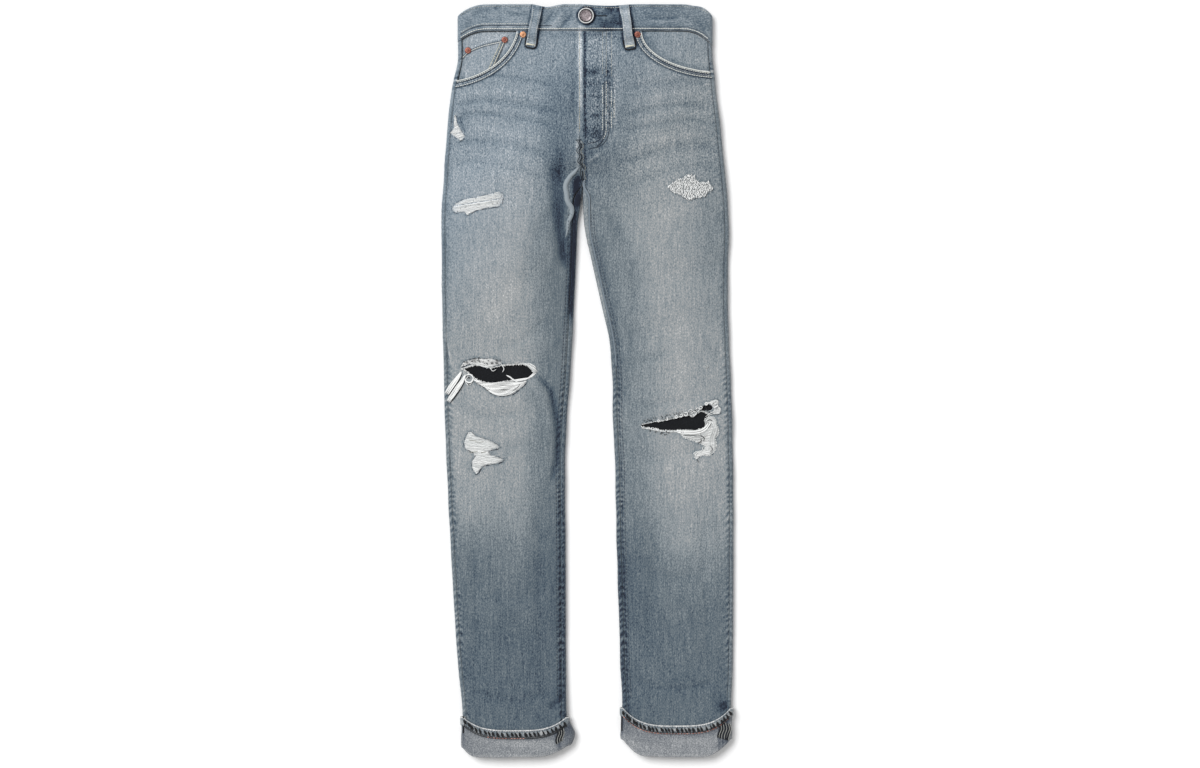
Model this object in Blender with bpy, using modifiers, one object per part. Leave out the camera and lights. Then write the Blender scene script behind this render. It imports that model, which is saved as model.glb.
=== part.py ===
"""Ripped straight-leg jeans with turned-up cuffs, lying on their back, front side up.

Metres, +Z up. The waist points to +Y and the cuffs to -Y; the wearer's right leg is at -X.
The origin is on the surface that the jeans lie on, under the middle of their outline.

Every cloth piece is an open sheet laid on the garment's outer form and given its wall by Solidify.
The form is worked out from SECTIONS: at each height it is a flat-bottomed pillow whose rounded sides
have the radius SIDE_RADIUS. Above the crotch both halves share one pillow, below it each leg has its own.
"""

import math

import bmesh
import bpy
import numpy as np
from mathutils import Vector

MM = 0.001

# ---------------------------------------------------------------- driving dimensions, millimetres
WALL = 1.2                # denim and its nap
GAP = 0.3                 # between two pieces that meet
SIDE_RADIUS = 5.0         # of the rolled side edges
OUTSEAM_INSET = 8.6       # from the side edge to the outer seam, along the cloth
INSEAM_INSET = 9.4        # from the inner edge to the inner seam
CROTCH_INSET = 13.0       # the same, just under the crotch
CROTCH_FRONT = 287.0      # height where the two fronts part
CROTCH_BACK = 259.0       # height where the two legs part
CROTCH_DIP = 38.0         # length over which the fronts fall to the crotch point
CROTCH_SLACK = 1.6        # more room between the front and the back seam at the crotch
CROTCH_SETTLE = 60.0      # length over which the inner seam leaves its place at the crotch
SEAM_SETBACK = 0.24       # from the outer seam line to the front's edge

WAIST_SEAM = 500.0
WAISTBAND_HEIGHT = 38.0
WAISTBAND_WALL = 2.4      # two layers and the turned edges
WAISTBAND_PROUD = 0.6
WAISTBAND_UNDERLAP = 30.0
WAIST_GAP = 1.0           # along the height, since the waist seam slopes at its ends
WAIST_DROP = {"right": 16.0, "left": 21.0}      # how far its ends hang below its middle
WAIST_DROP_REACH = 45.0
WAIST_DROP_POWER = 2.4
WAIST_DROP_HEIGHT = 70.0  # below the waist seam, where the drop begins
WAIST_DIPS = (            # where the upper edge sinks: middle, half width, depth
    (-60.0, 24.0, 4.0),
    (24.0, 46.0, 2.6),
)
BAND_LAP_GAP = 0.5        # between the two ends of the waistband
BAND_LAP_EASE = 26.0      # past the under end, where the lap has come down
BAND_LAP_RISE = 24.0      # length over which it does

FLY_END = 343.0
FLY_WIDTH = 38.0
FLY_UNDERLAP = 12.0
FLY_UNDERLAP_FOOT = 3.0   # above the fly's end, where the underlap starts
FLY_UNDERLAP_RISE = 20.0
FLY_FLAT_SHARE = 0.45     # of the fly's width that lies flat on the other front
FLY_SLOPE_SHARE = 0.5     # of its width over which it comes down
FLY_LIFT_RISE = 14.0      # the same along its height

# The cuffs: heights of their upper edge and of their fold at the sides; the middle of the front sags
# below that, and the middle of the back rises a little.
CUFFS = {
    "right": {"top": -481.0, "bottom": -522.0, "sag": 18.5},
    "left": {"top": -468.0, "bottom": -513.0, "sag": 25.0},
}
CUFF_RISE_BACK = 5.0
CUFF_EASE = 0.8           # between the leg and the cuff at the sides
CUFF_SAG_START = -430.0
CUFF_SAG_LENGTH = 45.0
CUFF_SAG_SPREAD = 1.1     # how soon the sag is level towards the sides
CUFF_SAG_POWER = 3.5
LEG_IN_CUFF = 9.0         # the legs end this much above the fold
HEM_HEIGHT = 12.0

BUTTON_CENTRE = (-4.7, 520.7)
BUTTON_RADIUS = 11.0
SHANK_RADIUS = 1.6
BUTTONHOLE_LENGTH = 31.0
BUTTONHOLE_HALF_WIDTH = 0.8
RIVET_RADIUS = 4.6
LOOP_WIDTH = 14.0
LOOP_WALL = 1.8
LOOP_RISE = 5.4           # clear height for a belt
LOOP_RISE_SHARE = 0.2     # of its length over which it rises

CUT_BELOW, CUT_ABOVE = -5.0, 60.0     # heights between which a cutter runs

# One row for each height. right_out and left_out are the outer side edges, right_in and left_in the
# inner ones (one centre line above the crotch), top is the height of the pillow, floor its underside.
COLUMNS = ("y", "right_out", "right_in", "left_in", "left_out", "top", "floor")
SECTIONS = (
    (540, -188.0, -16.0, -16.0, 176.0, 15.5, 2.1),
    (500, -188.0, -16.5, -16.5, 176.0, 16.5, 2.1),
    (459, -188.8, -15.0, -15.0, 177.5, 19.0, 2.1),
    (416, -197.0, -14.0, -14.0, 181.5, 21.0, 2.1),
    (373, -202.3, -14.5, -14.5, 186.5, 22.5, 2.1),
    (330, -205.8, -12.0, -12.0, 191.3, 23.5, 2.1),
    (287, -208.6, -8.5, -8.5, 195.5, 24.0, 2.1),
    (259, -210.8, -11.0, -10.0, 198.3, 24.0, 2.1),
    (223, -212.0, -16.0, -7.5, 200.0, 24.0, 0.8),
    (173, -211.5, -18.5, 3.0, 199.3, 23.0, 0.0),
    (116, -211.0, -21.0, 15.5, 198.5, 21.0, 0.0),
    (59, -209.8, -24.0, 28.0, 200.2, 19.0, 0.0),
    (9, -208.4, -27.0, 32.5, 202.5, 18.0, 0.0),
    (-56, -207.0, -32.0, 33.5, 204.5, 17.0, 0.0),
    (-127, -204.0, -34.5, 37.0, 206.0, 16.5, 0.0),
    (-199, -200.6, -34.0, 38.0, 206.5, 16.0, 0.0),
    (-270, -196.8, -33.5, 40.0, 206.5, 15.5, 0.0),
    (-342, -192.5, -33.3, 42.3, 206.0, 15.5, 0.0),
    (-413, -187.7, -33.0, 44.5, 205.3, 15.5, 0.0),
    (-463, -182.0, -32.5, 47.0, 203.0, 16.0, 3.0),
    (-500, -180.5, -32.0, 47.5, 201.5, 17.0, 3.4),
    (-540, -180.5, -32.0, 47.5, 201.5, 17.0, 3.4),
)

# Pocket mouths are quarter ellipses round the corner of the waist seam and the outer seam.
MOUTHS = {
    "right": {"centre": (-215.0, 510.0), "across": 112.0, "down": 83.0},
    "left": {"centre": (186.0, 500.0), "across": 111.0, "down": 58.0},
}
MOUTH_PAST_SEAM = 25.0    # the mouth's cutter runs past the outer seam
MOUTH_PAST_WAIST = 20.0
FACING_MARGIN = 14.0      # how far the facing runs under the front
COIN_MARGIN = 4.0         # how far the coin pocket does
COIN_POCKET = {"outer": -178.5, "inner": -115.5, "top_outer": 477.0, "top_inner": 494.0}

# The knee rips, as outlines from the outer end round the upper edge and back along the lower one.
RIPS = {
    "right": ((-183, 17), (-168, 22), (-158, 23), (-148, 20), (-138, 19), (-127, 22), (-113, 23),
              (-92, 24), (-82, 18), (-77, 12), (-80, 8), (-92, 3), (-110, 1.5), (-124, 0),
              (-136, -3), (-151, -1), (-162, 2), (-170, 9)),
    "left": ((81, -63), (101, -61), (121, -55), (138, -50), (148, -50), (158, -44.5), (163, -44),
             (172, -49), (169, -57), (172, -65), (156, -71), (130, -71), (110, -70), (99, -66)),
}
PATCH_MARGIN = 16.0
PATCH_SIDE_MARGIN = 8.0
PATCH_WALL = 1.0

BACK_POCKET = {"top": 425.0, "corner": 288.0, "point": 266.0, "half_top": 74.0, "half_foot": 62.0}
BACK_POCKET_WALL = 1.8
BACK_POCKET_CENTRES = {"right": -110.0, "left": 88.0}
YOKE_CENTRE = 441.0       # height of the yoke seam at the centre back
YOKE_SIDE = 466.0         # and at the outer seam
YOKE_LAST_ROW = 14.0      # below the waist seam

FRONT_LOOPS = {"right": ((-74.0, 535.5), (-84.0, 477.5)), "left": ((49.5, 536.0), (58.5, 475.5))}
BACK_LOOPS = {"right": -118.0, "centre": -6.0, "left": 106.0}
BACK_LOOP_WALL = 1.2
BACK_LOOP_BELOW = 22.0    # the waist seam
BACK_LOOP_SHORT = 1.0     # of the waistband's upper edge

RIVETS = {
    "rivet_front_right": (-94.6, 494.3),
    "rivet_coin_inner": (-121.0, 487.0),
    "rivet_coin_outer": (-173.5, 472.0),
    "rivet_front_left": (69.0, 494.3),
}

# Turned profiles, in millimetres, from the top of the axis outwards and down: radius, height.
BUTTON_FACE = (
    (0.0, 3.4), (4.5, 3.3), (7.4, 2.9), (8.0, 2.2), (8.8, 2.2), (9.4, 3.2), (10.3, 3.2),
    (BUTTON_RADIUS, 2.4), (BUTTON_RADIUS, 0.7), (BUTTON_RADIUS - 0.9, 0.0), (SHANK_RADIUS, 0.0),
)
BUTTON_CLEAR = 0.7        # between the button's head and the waistband
RIVET_FACE = (
    (0.0, 1.9), (1.2, 1.8), (1.6, 1.2), (3.2, 1.1), (RIVET_RADIUS, 0.5), (RIVET_RADIUS, 0.0), (0.0, 0.0),
)

COLOURS = {               # linear red, green, blue; roughness; metallic
    "denim_front": ((0.26, 0.32, 0.37), 0.92, 0.0),
    "denim_back": ((0.22, 0.28, 0.33), 0.92, 0.0),
    "denim_waistband": ((0.20, 0.27, 0.33), 0.92, 0.0),
    "denim_inside": ((0.34, 0.36, 0.37), 0.92, 0.0),
    "black_backing": ((0.012, 0.012, 0.014), 0.95, 0.0),
    "button_metal": ((0.24, 0.22, 0.23), 0.42, 1.0),
    "copper": ((0.62, 0.25, 0.13), 0.38, 1.0),
}

TABLE = np.array(SECTIONS, float)[::-1]


# ---------------------------------------------------------------- the garment's form
def smoothstep(t):
    """0 below 0, 1 above 1 and a smooth rise between."""
    t = np.clip(t, 0.0, 1.0)
    return t * t * (3.0 - 2.0 * t)


def at(column, y):
    """A column of SECTIONS at height y, read off a smooth curve through its rows."""
    heights = TABLE[:, 0]
    values = TABLE[:, COLUMNS.index(column)]
    slopes = np.gradient(values, heights)
    y = float(np.clip(y, heights[0], heights[-1]))
    i = min(int(np.searchsorted(heights, y, side="right")) - 1, len(heights) - 2)
    step = heights[i + 1] - heights[i]
    t = (y - heights[i]) / step
    return (
        values[i] * (2 * t**3 - 3 * t**2 + 1)
        + values[i + 1] * (3 * t**2 - 2 * t**3)
        + slopes[i] * step * (t**3 - 2 * t**2 + t)
        + slopes[i + 1] * step * (t**3 - t**2)
    )


def edges(half, y):
    """The x of a half's outer edge and of its inner edge, half a gap short of the other half's."""
    if half == "right":
        return at("right_out", y), at("right_in", y) - GAP / 2
    return at("left_out", y), at("left_in", y) + GAP / 2


def leg_share(y):
    """0 where both halves share one pillow, 1 where each leg has its own."""
    return float(smoothstep((CROTCH_FRONT + CROTCH_DIP - y) / CROTCH_DIP))


def arc(centre_x, centre_z, start, end, steps=12):
    """Points of a side roll; angles are from straight up towards the side, in radians."""
    angle = np.linspace(start, end, steps + 1)
    return np.stack(
        [centre_x + SIDE_RADIUS * np.sin(angle), centre_z + SIDE_RADIUS * np.cos(angle)], axis=1
    )


def section(half, y, past_centre=0.0):
    """The outer form of one half at height y, as two runs of (distance from the outer edge, z).

    top runs from the outer edge over the front to the inner edge, under from the outer edge below the
    back to the inner edge. The front is a parabola raised by SIDE_RADIUS along its normals.
    """
    outer, inner = edges(half, y)
    width = abs(inner - outer)
    height, floor, share = at("top", y), at("floor", y), leg_share(y)
    core = floor + SIDE_RADIUS
    turn = share * math.pi / 2
    core_end = width - SIDE_RADIUS * math.sin(turn)
    span = core_end - SIDE_RADIUS
    rise = height - 2 * SIDE_RADIUS - floor
    s = np.linspace(0.0, 1.0 + past_centre / span, 81)
    across = SIDE_RADIUS + span * s
    crown = (1 - share) * (1 - (1 - s) ** 2) + share * (1 - (2 * s - 1) ** 2)
    slope = rise * ((1 - share) * 2 * (1 - s) + share * 4 * (1 - 2 * s)) / span
    tilt = np.arctan(slope)
    front = np.stack(
        [across - SIDE_RADIUS * np.sin(tilt), core + rise * crown + SIDE_RADIUS * np.cos(tilt)], axis=1
    )
    first = arc(SIDE_RADIUS, core, -math.pi / 2, -tilt[0])
    runs = [first[:-1], front]
    if turn > -tilt[-1] and not past_centre:
        end_core = core + rise * crown[-1]
        runs.append(arc(core_end, end_core, -tilt[-1], turn)[1:])
    top = np.concatenate(runs)
    down = arc(SIDE_RADIUS, core, -math.pi / 2, -math.pi)
    up = arc(core_end, core, math.pi, math.pi - turn)
    under = np.concatenate([down, up if turn > 1e-6 else [[width, floor]]])
    return top, under


def along(run):
    """Distance along a run at each of its points."""
    return np.concatenate([[0.0], np.cumsum(np.linalg.norm(np.diff(run, axis=0), axis=1))])


def part_of(run, start, end):
    """The part of a run between two distances along it."""
    length = along(run)
    inside = run[(length > start + 1e-6) & (length < end - 1e-6)]
    ends = [[np.interp(d, length, run[:, k]) for k in range(2)] for d in (start, end)]
    return np.concatenate([[ends[0]], inside, [ends[1]]])


def spaced(run, count, turn_weight=60.0):
    """count points on a run, closer together where it turns."""
    step = np.diff(run, axis=0)
    keep = np.concatenate([[True], np.linalg.norm(step, axis=1) > 1e-7])
    run = run[keep]
    step = np.diff(run, axis=0)
    angle = np.unwrap(np.arctan2(step[:, 1], step[:, 0]))
    turning = np.abs(np.diff(angle, prepend=angle[:1]))
    cost = np.concatenate([[0.0], np.cumsum(np.linalg.norm(step, axis=1) + turn_weight * turning)])
    wanted = np.linspace(0.0, cost[-1], count)
    return np.stack([np.interp(wanted, cost, run[:, k]) for k in range(2)], axis=1)


def moved_out(run, distance):
    """A run moved along its normals; its cloth side is on the left as it goes."""
    direction = np.gradient(run, axis=0)
    direction /= np.linalg.norm(direction, axis=1)[:, None]
    return run + distance * np.stack([-direction[:, 1], direction[:, 0]], axis=1)


def seam_insets(half, y):
    """Distances from the outer and inner edge to the outer and inner seam, along the cloth."""
    below = smoothstep((CROTCH_FRONT - y) / (CROTCH_FRONT - CROTCH_BACK))
    settled = smoothstep((CROTCH_BACK - y) / CROTCH_SETTLE)
    return OUTSEAM_INSET, below * (CROTCH_INSET + (INSEAM_INSET - CROTCH_INSET) * settled)


def waist_drop(x, y):
    """How far a point of the waist hangs below its row, at the ends and where the edge dips."""
    drop = 0.0
    for half, sign in (("right", -1.0), ("left", 1.0)):
        end = at(f"{half}_out", WAIST_SEAM)
        t = np.clip(1 + sign * (x - end) / WAIST_DROP_REACH, 0.0, 1.0)
        drop += WAIST_DROP[half] * t**WAIST_DROP_POWER
    rise = np.clip((y - WAIST_SEAM) / WAISTBAND_HEIGHT, 0.0, 1.0)
    for middle, half_width, depth in WAIST_DIPS:
        drop += rise * depth * (1 - smoothstep(abs(x - middle) / half_width))
    return drop * smoothstep((y - WAIST_SEAM + WAIST_DROP_HEIGHT) / WAIST_DROP_HEIGHT)


def cuff_sag(half, x, on_front):
    """How far the cuff hangs below its ends at x."""
    outer, inner = edges(half, CUFFS[half]["top"])
    share = min(1.0, CUFF_SAG_SPREAD * abs(2 * (x - outer) / (inner - outer) - 1))
    return (CUFFS[half]["sag"] if on_front else -CUFF_RISE_BACK) * (1 - share**CUFF_SAG_POWER)


def height_at(half, x, y, on_front):
    """The height of a point whose row is y, once the waist has dropped and the cuff has sagged."""
    hung = smoothstep((CUFF_SAG_START - y) / CUFF_SAG_LENGTH)
    return y - waist_drop(x, y) - cuff_sag(half, x, on_front) * hung


def fly_lift(x, y, height):
    """How far the left front stands up where it laps over the right one."""
    from_edge = x - at("left_in", y)
    near = 1 - smoothstep((from_edge - FLY_WIDTH * FLY_FLAT_SHARE) / (FLY_WIDTH * FLY_SLOPE_SHARE))
    return height * near * smoothstep((y - FLY_END + FLY_LIFT_RISE) / FLY_LIFT_RISE)


def surface(half, x, y):
    """The height z of the front's outer side above (x, y)."""
    outer, _ = edges(half, y)
    top, _ = section(half, y)
    lift = fly_lift(x, y, WALL + GAP) if half == "left" else 0.0
    return float(np.interp(abs(x - outer), top[:, 0], top[:, 1]) + lift)


def placed(half, run, y, on_front, lift=0.0):
    """A run of a section as garment points (x, y, z) in millimetres."""
    outer, _ = edges(half, y)
    sign = 1.0 if half == "right" else -1.0
    points = []
    for across, z in run:
        x = outer + sign * across
        raised = fly_lift(x, y, lift) if lift else 0.0
        points.append((x, height_at(half, x, y, on_front), z + raised))
    return points


# ---------------------------------------------------------------- Blender helpers
def collection(name):
    made = bpy.data.collections.new(name)
    bpy.context.scene.collection.children.link(made)
    return made


def material(name):
    colour, roughness, metallic = COLOURS[name]
    made = bpy.data.materials.get(name)
    if made is None:
        made = bpy.data.materials.new(name)
        made.use_nodes = True
        shader = made.node_tree.nodes["Principled BSDF"]
        shader.inputs["Base Color"].default_value = (*colour, 1.0)
        shader.inputs["Roughness"].default_value = roughness
        shader.inputs["Metallic"].default_value = metallic
    return made


def cloth(name, rows, wall, finish, outward=None):
    """A cloth wall: a grid bent to rows of points, with its thickness laid inwards.

    outward is a direction that its outer side faces. Without one the rows are closed loops round a leg,
    and the outer side is the one away from the loops' middle."""
    shape = bmesh.new()
    bmesh.ops.create_grid(shape, x_segments=len(rows[0]) - 1, y_segments=len(rows) - 1, size=1.0)
    for vert, point in zip(shape.verts, (point for row in rows for point in row)):
        vert.co = [c * MM for c in point]
    bmesh.ops.remove_doubles(shape, verts=shape.verts[:], dist=1e-7)
    shape.normal_update()
    middle = sum((vert.co for vert in shape.verts), Vector()) / len(shape.verts)
    facing = 0.0
    for face in shape.faces:
        away = Vector(outward) if outward else face.calc_center_median() - middle
        facing += face.normal.dot(away) * face.calc_area()
    if facing < 0:
        bmesh.ops.reverse_faces(shape, faces=shape.faces[:])
    made = finished(name, shape, finish)
    thick = made.modifiers.new("wall", "SOLIDIFY")
    thick.thickness = wall * MM
    thick.offset = -1.0
    thick.use_even_offset = True
    return made


def finished(name, shape, finish):
    """A named, smooth-shaded part made from a bmesh."""
    mesh = bpy.data.meshes.new(name)
    shape.to_mesh(mesh)
    shape.free()
    mesh.shade_smooth()
    return as_part(bpy.data.objects.new(name, mesh), finish)


def as_part(made, finish):
    """Gives an object its material and puts it under the garment's origin."""
    made.data.materials.append(material(finish))
    parts.objects.link(made)
    made.parent = root
    return made


def prism(name, outline, bottom, top):
    """A flat outline in millimetres, extruded from bottom to top, as a welded mesh object."""
    curve = bpy.data.curves.new(name, "CURVE")
    curve.dimensions = "2D"
    curve.fill_mode = "BOTH"
    curve.extrude = (top - bottom) / 2 * MM
    spline = curve.splines.new("POLY")
    spline.points.add(len(outline) - 1)
    for point, (x, y) in zip(spline.points, outline):
        point.co = (x * MM, y * MM, 0.0, 1.0)
    spline.use_cyclic_u = True
    drawn = bpy.data.objects.new(name + "_outline", curve)
    drawn.location.z = (top + bottom) / 2 * MM
    bpy.context.scene.collection.objects.link(drawn)
    bpy.context.view_layer.update()
    mesh = bpy.data.meshes.new_from_object(drawn.evaluated_get(bpy.context.evaluated_depsgraph_get()))
    weld = bmesh.new()
    weld.from_mesh(mesh)
    bmesh.ops.remove_doubles(weld, verts=weld.verts, dist=1e-6)
    weld.to_mesh(mesh)
    weld.free()
    made = bpy.data.objects.new(name, mesh)
    made.matrix_world = drawn.matrix_world.copy()
    bpy.data.objects.remove(drawn)
    return made


def cut(target, outline, name, bottom=CUT_BELOW):
    """Cuts a plan outline out of a cloth piece, above the height bottom."""
    cutter = prism(name, outline, bottom, CUT_ABOVE)
    cutters.objects.link(cutter)
    cutter.hide_render = True
    cutter.display_type = "WIRE"
    hole = target.modifiers.new(name, "BOOLEAN")
    hole.operation = "DIFFERENCE"
    hole.solver = "EXACT"
    hole.object = cutter


def turned(name, profile, steps, finish, location):
    """A profile of (radius, z) from the top outwards and down, turned round its axis."""
    shape = bmesh.new()
    verts = [shape.verts.new((r * MM, 0.0, z * MM)) for r, z in profile]
    for above, below in zip(verts, verts[1:]):
        shape.edges.new((above, below))
    made = finished(name, shape, finish)
    made.location = [c * MM for c in location]
    screw = made.modifiers.new("turned", "SCREW")
    screw.steps = screw.render_steps = steps
    screw.use_merge_vertices = True
    screw.merge_threshold = 0.00001
    screw.use_smooth_shade = True
    return made


# ---------------------------------------------------------------- fronts and backs
EXTRA_ROWS = (480.0, 352.0, 344.0, 308.0, 273.0, 241.0, -438.0, -480.0)
ROW_SPACING = 8.0         # the least between a leg's end, or the yoke seam, and the next row
ACROSS_FRONT = 10         # points in a row
ACROSS_BACK = 15


def leg_rows(half):
    """Heights of a leg's rows, from inside the cuff up to the waist seam."""
    end = CUFFS[half]["bottom"] + LEG_IN_CUFF
    rows = {float(row[0]) for row in SECTIONS if row[0] <= WAIST_SEAM} | set(EXTRA_ROWS)
    return [end, *sorted(y for y in rows if y > end + ROW_SPACING)]


def front_panel(half):
    """One front, from the outer seam to the inner seam and, above the crotch, to the centre seam.

    The right front runs on under the fly; the left front is lifted there to lap over it."""
    rows = []
    for y in leg_rows(half):
        under = float(smoothstep((y - FLY_END - FLY_UNDERLAP_FOOT) / FLY_UNDERLAP_RISE))
        past = FLY_UNDERLAP * under if half == "right" else 0.0
        top, _ = section(half, y, past)
        start, end = seam_insets(half, y)
        if y <= CROTCH_FRONT:
            end += GAP / 2 + CROTCH_SLACK * (1 - float(smoothstep((CROTCH_BACK - y) / CROTCH_SETTLE)))
        run = part_of(top, start + SEAM_SETBACK, along(top)[-1] - end)
        lift = WALL + GAP if half == "left" else 0.0
        rows.append(placed(half, spaced(run, ACROSS_FRONT), y, True, lift))
    made = cloth(f"front_{half}", trimmed(rows), WALL, "denim_front", (0, 0, 1))
    cut(made, mouth_outline(half), f"mouth_{half}")
    cut(made, RIPS[half], f"rip_{half}")


def trimmed(rows):
    """The same rows with the last one a gap short of the waist seam."""
    return rows[:-1] + [[(x, y - WAIST_GAP, z) for x, y, z in rows[-1]]]


def mouth_outline(half):
    """The corner that a front lacks at its pocket, past the waist seam and the outer seam."""
    mouth = MOUTHS[half]
    sign = 1.0 if half == "right" else -1.0
    cx, cy = mouth["centre"]
    angles = np.linspace(0.0, math.pi / 2, 13)
    rim = [
        (cx + sign * mouth["across"] * math.cos(a), cy - mouth["down"] * math.sin(a)) for a in angles
    ]
    out, high = cx - sign * MOUTH_PAST_SEAM, WAIST_SEAM + MOUTH_PAST_WAIST
    return [(rim[0][0], high), *rim, (out, rim[-1][1] - 3.0), (out, high)]


def back_run(half, y):
    """The way round the back: from the outer seam, under the leg and up to the inner seam."""
    top, under = section(half, y)
    start, end = seam_insets(half, y)
    outer_part = part_of(top, 0.0, start - GAP / 2)[::-1]
    inner_part = part_of(top, along(top)[-1] - max(end - GAP / 2, 0.01), along(top)[-1])[::-1]
    runs = [outer_part, under[1:]]
    if end > GAP:
        runs.append(inner_part[1:])
    return np.concatenate(runs)


def back_panel(half):
    """One back, from the cuff to the yoke seam."""
    rows = []
    for y in leg_rows(half):
        if y <= YOKE_CENTRE - ROW_SPACING:
            rows.append(placed(half, spaced(back_run(half, y), ACROSS_BACK), y, False))
    rows.append(yoke_edge(half, -GAP / 2))
    cloth(f"back_{half}", rows, WALL, "denim_back", (0, 0, -1))


def yoke_edge(half, shift):
    """The yoke seam, which rises from the centre back to the outer seam."""
    middle = (YOKE_CENTRE + YOKE_SIDE) / 2
    run = spaced(back_run(half, middle), ACROSS_BACK)
    length = along(run) / along(run)[-1]
    edge = placed(half, run, middle, False)
    return [
        (x, y - middle + YOKE_SIDE + (YOKE_CENTRE - YOKE_SIDE) * share + shift, z)
        for (x, y, z), share in zip(edge, length)
    ]


def yoke(half):
    """The back yoke, between the back and the waistband."""
    rows = [yoke_edge(half, GAP / 2)]
    for y in (WAIST_SEAM - YOKE_LAST_ROW, WAIST_SEAM):
        rows.append(placed(half, spaced(back_run(half, y), ACROSS_BACK), y, False))
    cloth(f"yoke_{half}", trimmed(rows), WALL, "denim_back", (0, 0, -1))


# ---------------------------------------------------------------- pockets and patches
def under_front(half, y, x_limit, depth, count):
    """A row that lies depth below the front's outer side, from the outer seam to x_limit."""
    top, _ = section(half, y)
    outer, _ = edges(half, y)
    reach = float(np.interp(abs(x_limit - outer), top[:, 0], along(top)))
    run = moved_out(part_of(top, OUTSEAM_INSET, reach), -depth)
    return placed(half, spaced(run, count, 20.0), y, True)


def pocket_facing(half, depth):
    """The hip piece that shows inside the pocket mouth and runs on under the front."""
    mouth = MOUTHS[half]
    sign = 1.0 if half == "right" else -1.0
    x_limit = mouth["centre"][0] + sign * (mouth["across"] + FACING_MARGIN)
    low = mouth["centre"][1] - mouth["down"] - FACING_MARGIN
    rows = [
        under_front(half, y, x_limit, depth, 7) for y in np.linspace(low, WAIST_SEAM, 6)
    ]
    cloth(f"pocket_facing_{half}", trimmed(rows), WALL, "denim_front", (0, 0, 1))


def coin_pocket(depth):
    """The small pocket on the right facing; its lower end is held under the front."""
    mouth = MOUTHS["right"]
    low = mouth["centre"][1] - mouth["down"] - COIN_MARGIN
    columns = np.linspace(COIN_POCKET["outer"], COIN_POCKET["inner"], 6)
    rows = []
    for share in np.linspace(0.0, 1.0, 6):
        row = []
        for x in columns:
            t = (x - columns[0]) / (columns[-1] - columns[0])
            high = COIN_POCKET["top_outer"] + t * (COIN_POCKET["top_inner"] - COIN_POCKET["top_outer"])
            y = low + share * (high - low)
            row.append((x, height_at("right", x, y, True), surface("right", x, y) - depth))
        rows.append(row)
    cloth("coin_pocket", rows, WALL * 0.9, "denim_front", (0, 0, 1))


def backing_patch(half):
    """The black cloth that is sewn behind a knee rip."""
    xs, ys = zip(*RIPS[half])
    columns = np.linspace(min(xs) - PATCH_SIDE_MARGIN, max(xs) + PATCH_SIDE_MARGIN, 8)
    rows = [
        [(x, y, surface(half, x, y) - WALL - GAP) for x in columns]
        for y in np.linspace(min(ys) - PATCH_MARGIN, max(ys) + PATCH_MARGIN, 4)
    ]
    cloth(f"backing_patch_{half}", rows, PATCH_WALL, "black_backing", (0, 0, 1))


def back_pocket(half):
    """A patch pocket on the back, pressed flat under the garment's own weight."""
    x = BACK_POCKET_CENTRES[half]
    p = BACK_POCKET
    outline = [
        (x - p["half_top"], p["top"]), (x - p["half_foot"], p["corner"]), (x, p["point"]),
        (x + p["half_foot"], p["corner"]), (x + p["half_top"], p["top"]),
    ]
    as_part(prism(f"back_pocket_{half}", outline, 0.0, BACK_POCKET_WALL), "denim_back")


# ---------------------------------------------------------------- waistband, loops and metal
def waistband():
    """One strip from the fly's upper end, round the left side and the back, to the under end."""
    rows = []
    step = WAISTBAND_WALL + BAND_LAP_GAP
    for y in np.linspace(WAIST_SEAM, WAIST_SEAM + WAISTBAND_HEIGHT, 3):
        left_top, left_under = section("left", y)
        right_top, right_under = section("right", y, WAISTBAND_UNDERLAP)
        left_out, _ = edges("left", y)
        right_out, _ = edges("right", y)
        runs = []
        for run, outer, sign, reverse in (
            (left_top, left_out, -1.0, True),
            (left_under, left_out, -1.0, False),
            (right_under, right_out, 1.0, True),
            (right_top, right_out, 1.0, False),
        ):
            points = np.stack([outer + sign * run[:, 0], run[:, 1]], axis=1)
            runs.append(points[::-1] if reverse else points)
        ring_run = np.concatenate([runs[0], runs[1][1:-1], runs[2][:-1], runs[3]])
        ring_run = moved_out(spaced(ring_run, 60, 25.0), WAISTBAND_PROUD)
        upper = len(ring_run) // 4
        row = []
        for i, (x, z) in enumerate(ring_run):
            from_end = x - at("left_in", y) - WAISTBAND_UNDERLAP
            lap = smoothstep((BAND_LAP_EASE - from_end) / BAND_LAP_RISE)
            row.append((x, y - waist_drop(x, y), z + (step * lap if i < upper else 0.0)))
        rows.append(row)
    made = cloth("waistband", rows, WAISTBAND_WALL, "denim_waistband", (0, 0, 1))
    cut(made, buttonhole_outline(), "buttonhole", band_under_top() + BAND_LAP_GAP / 2)


def band_under_top():
    """The height of the outer side of the waistband's under end, below the button."""
    return surface("right", at("right_in", WAIST_SEAM) - 1.0, BUTTON_CENTRE[1]) + WAISTBAND_PROUD


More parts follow.
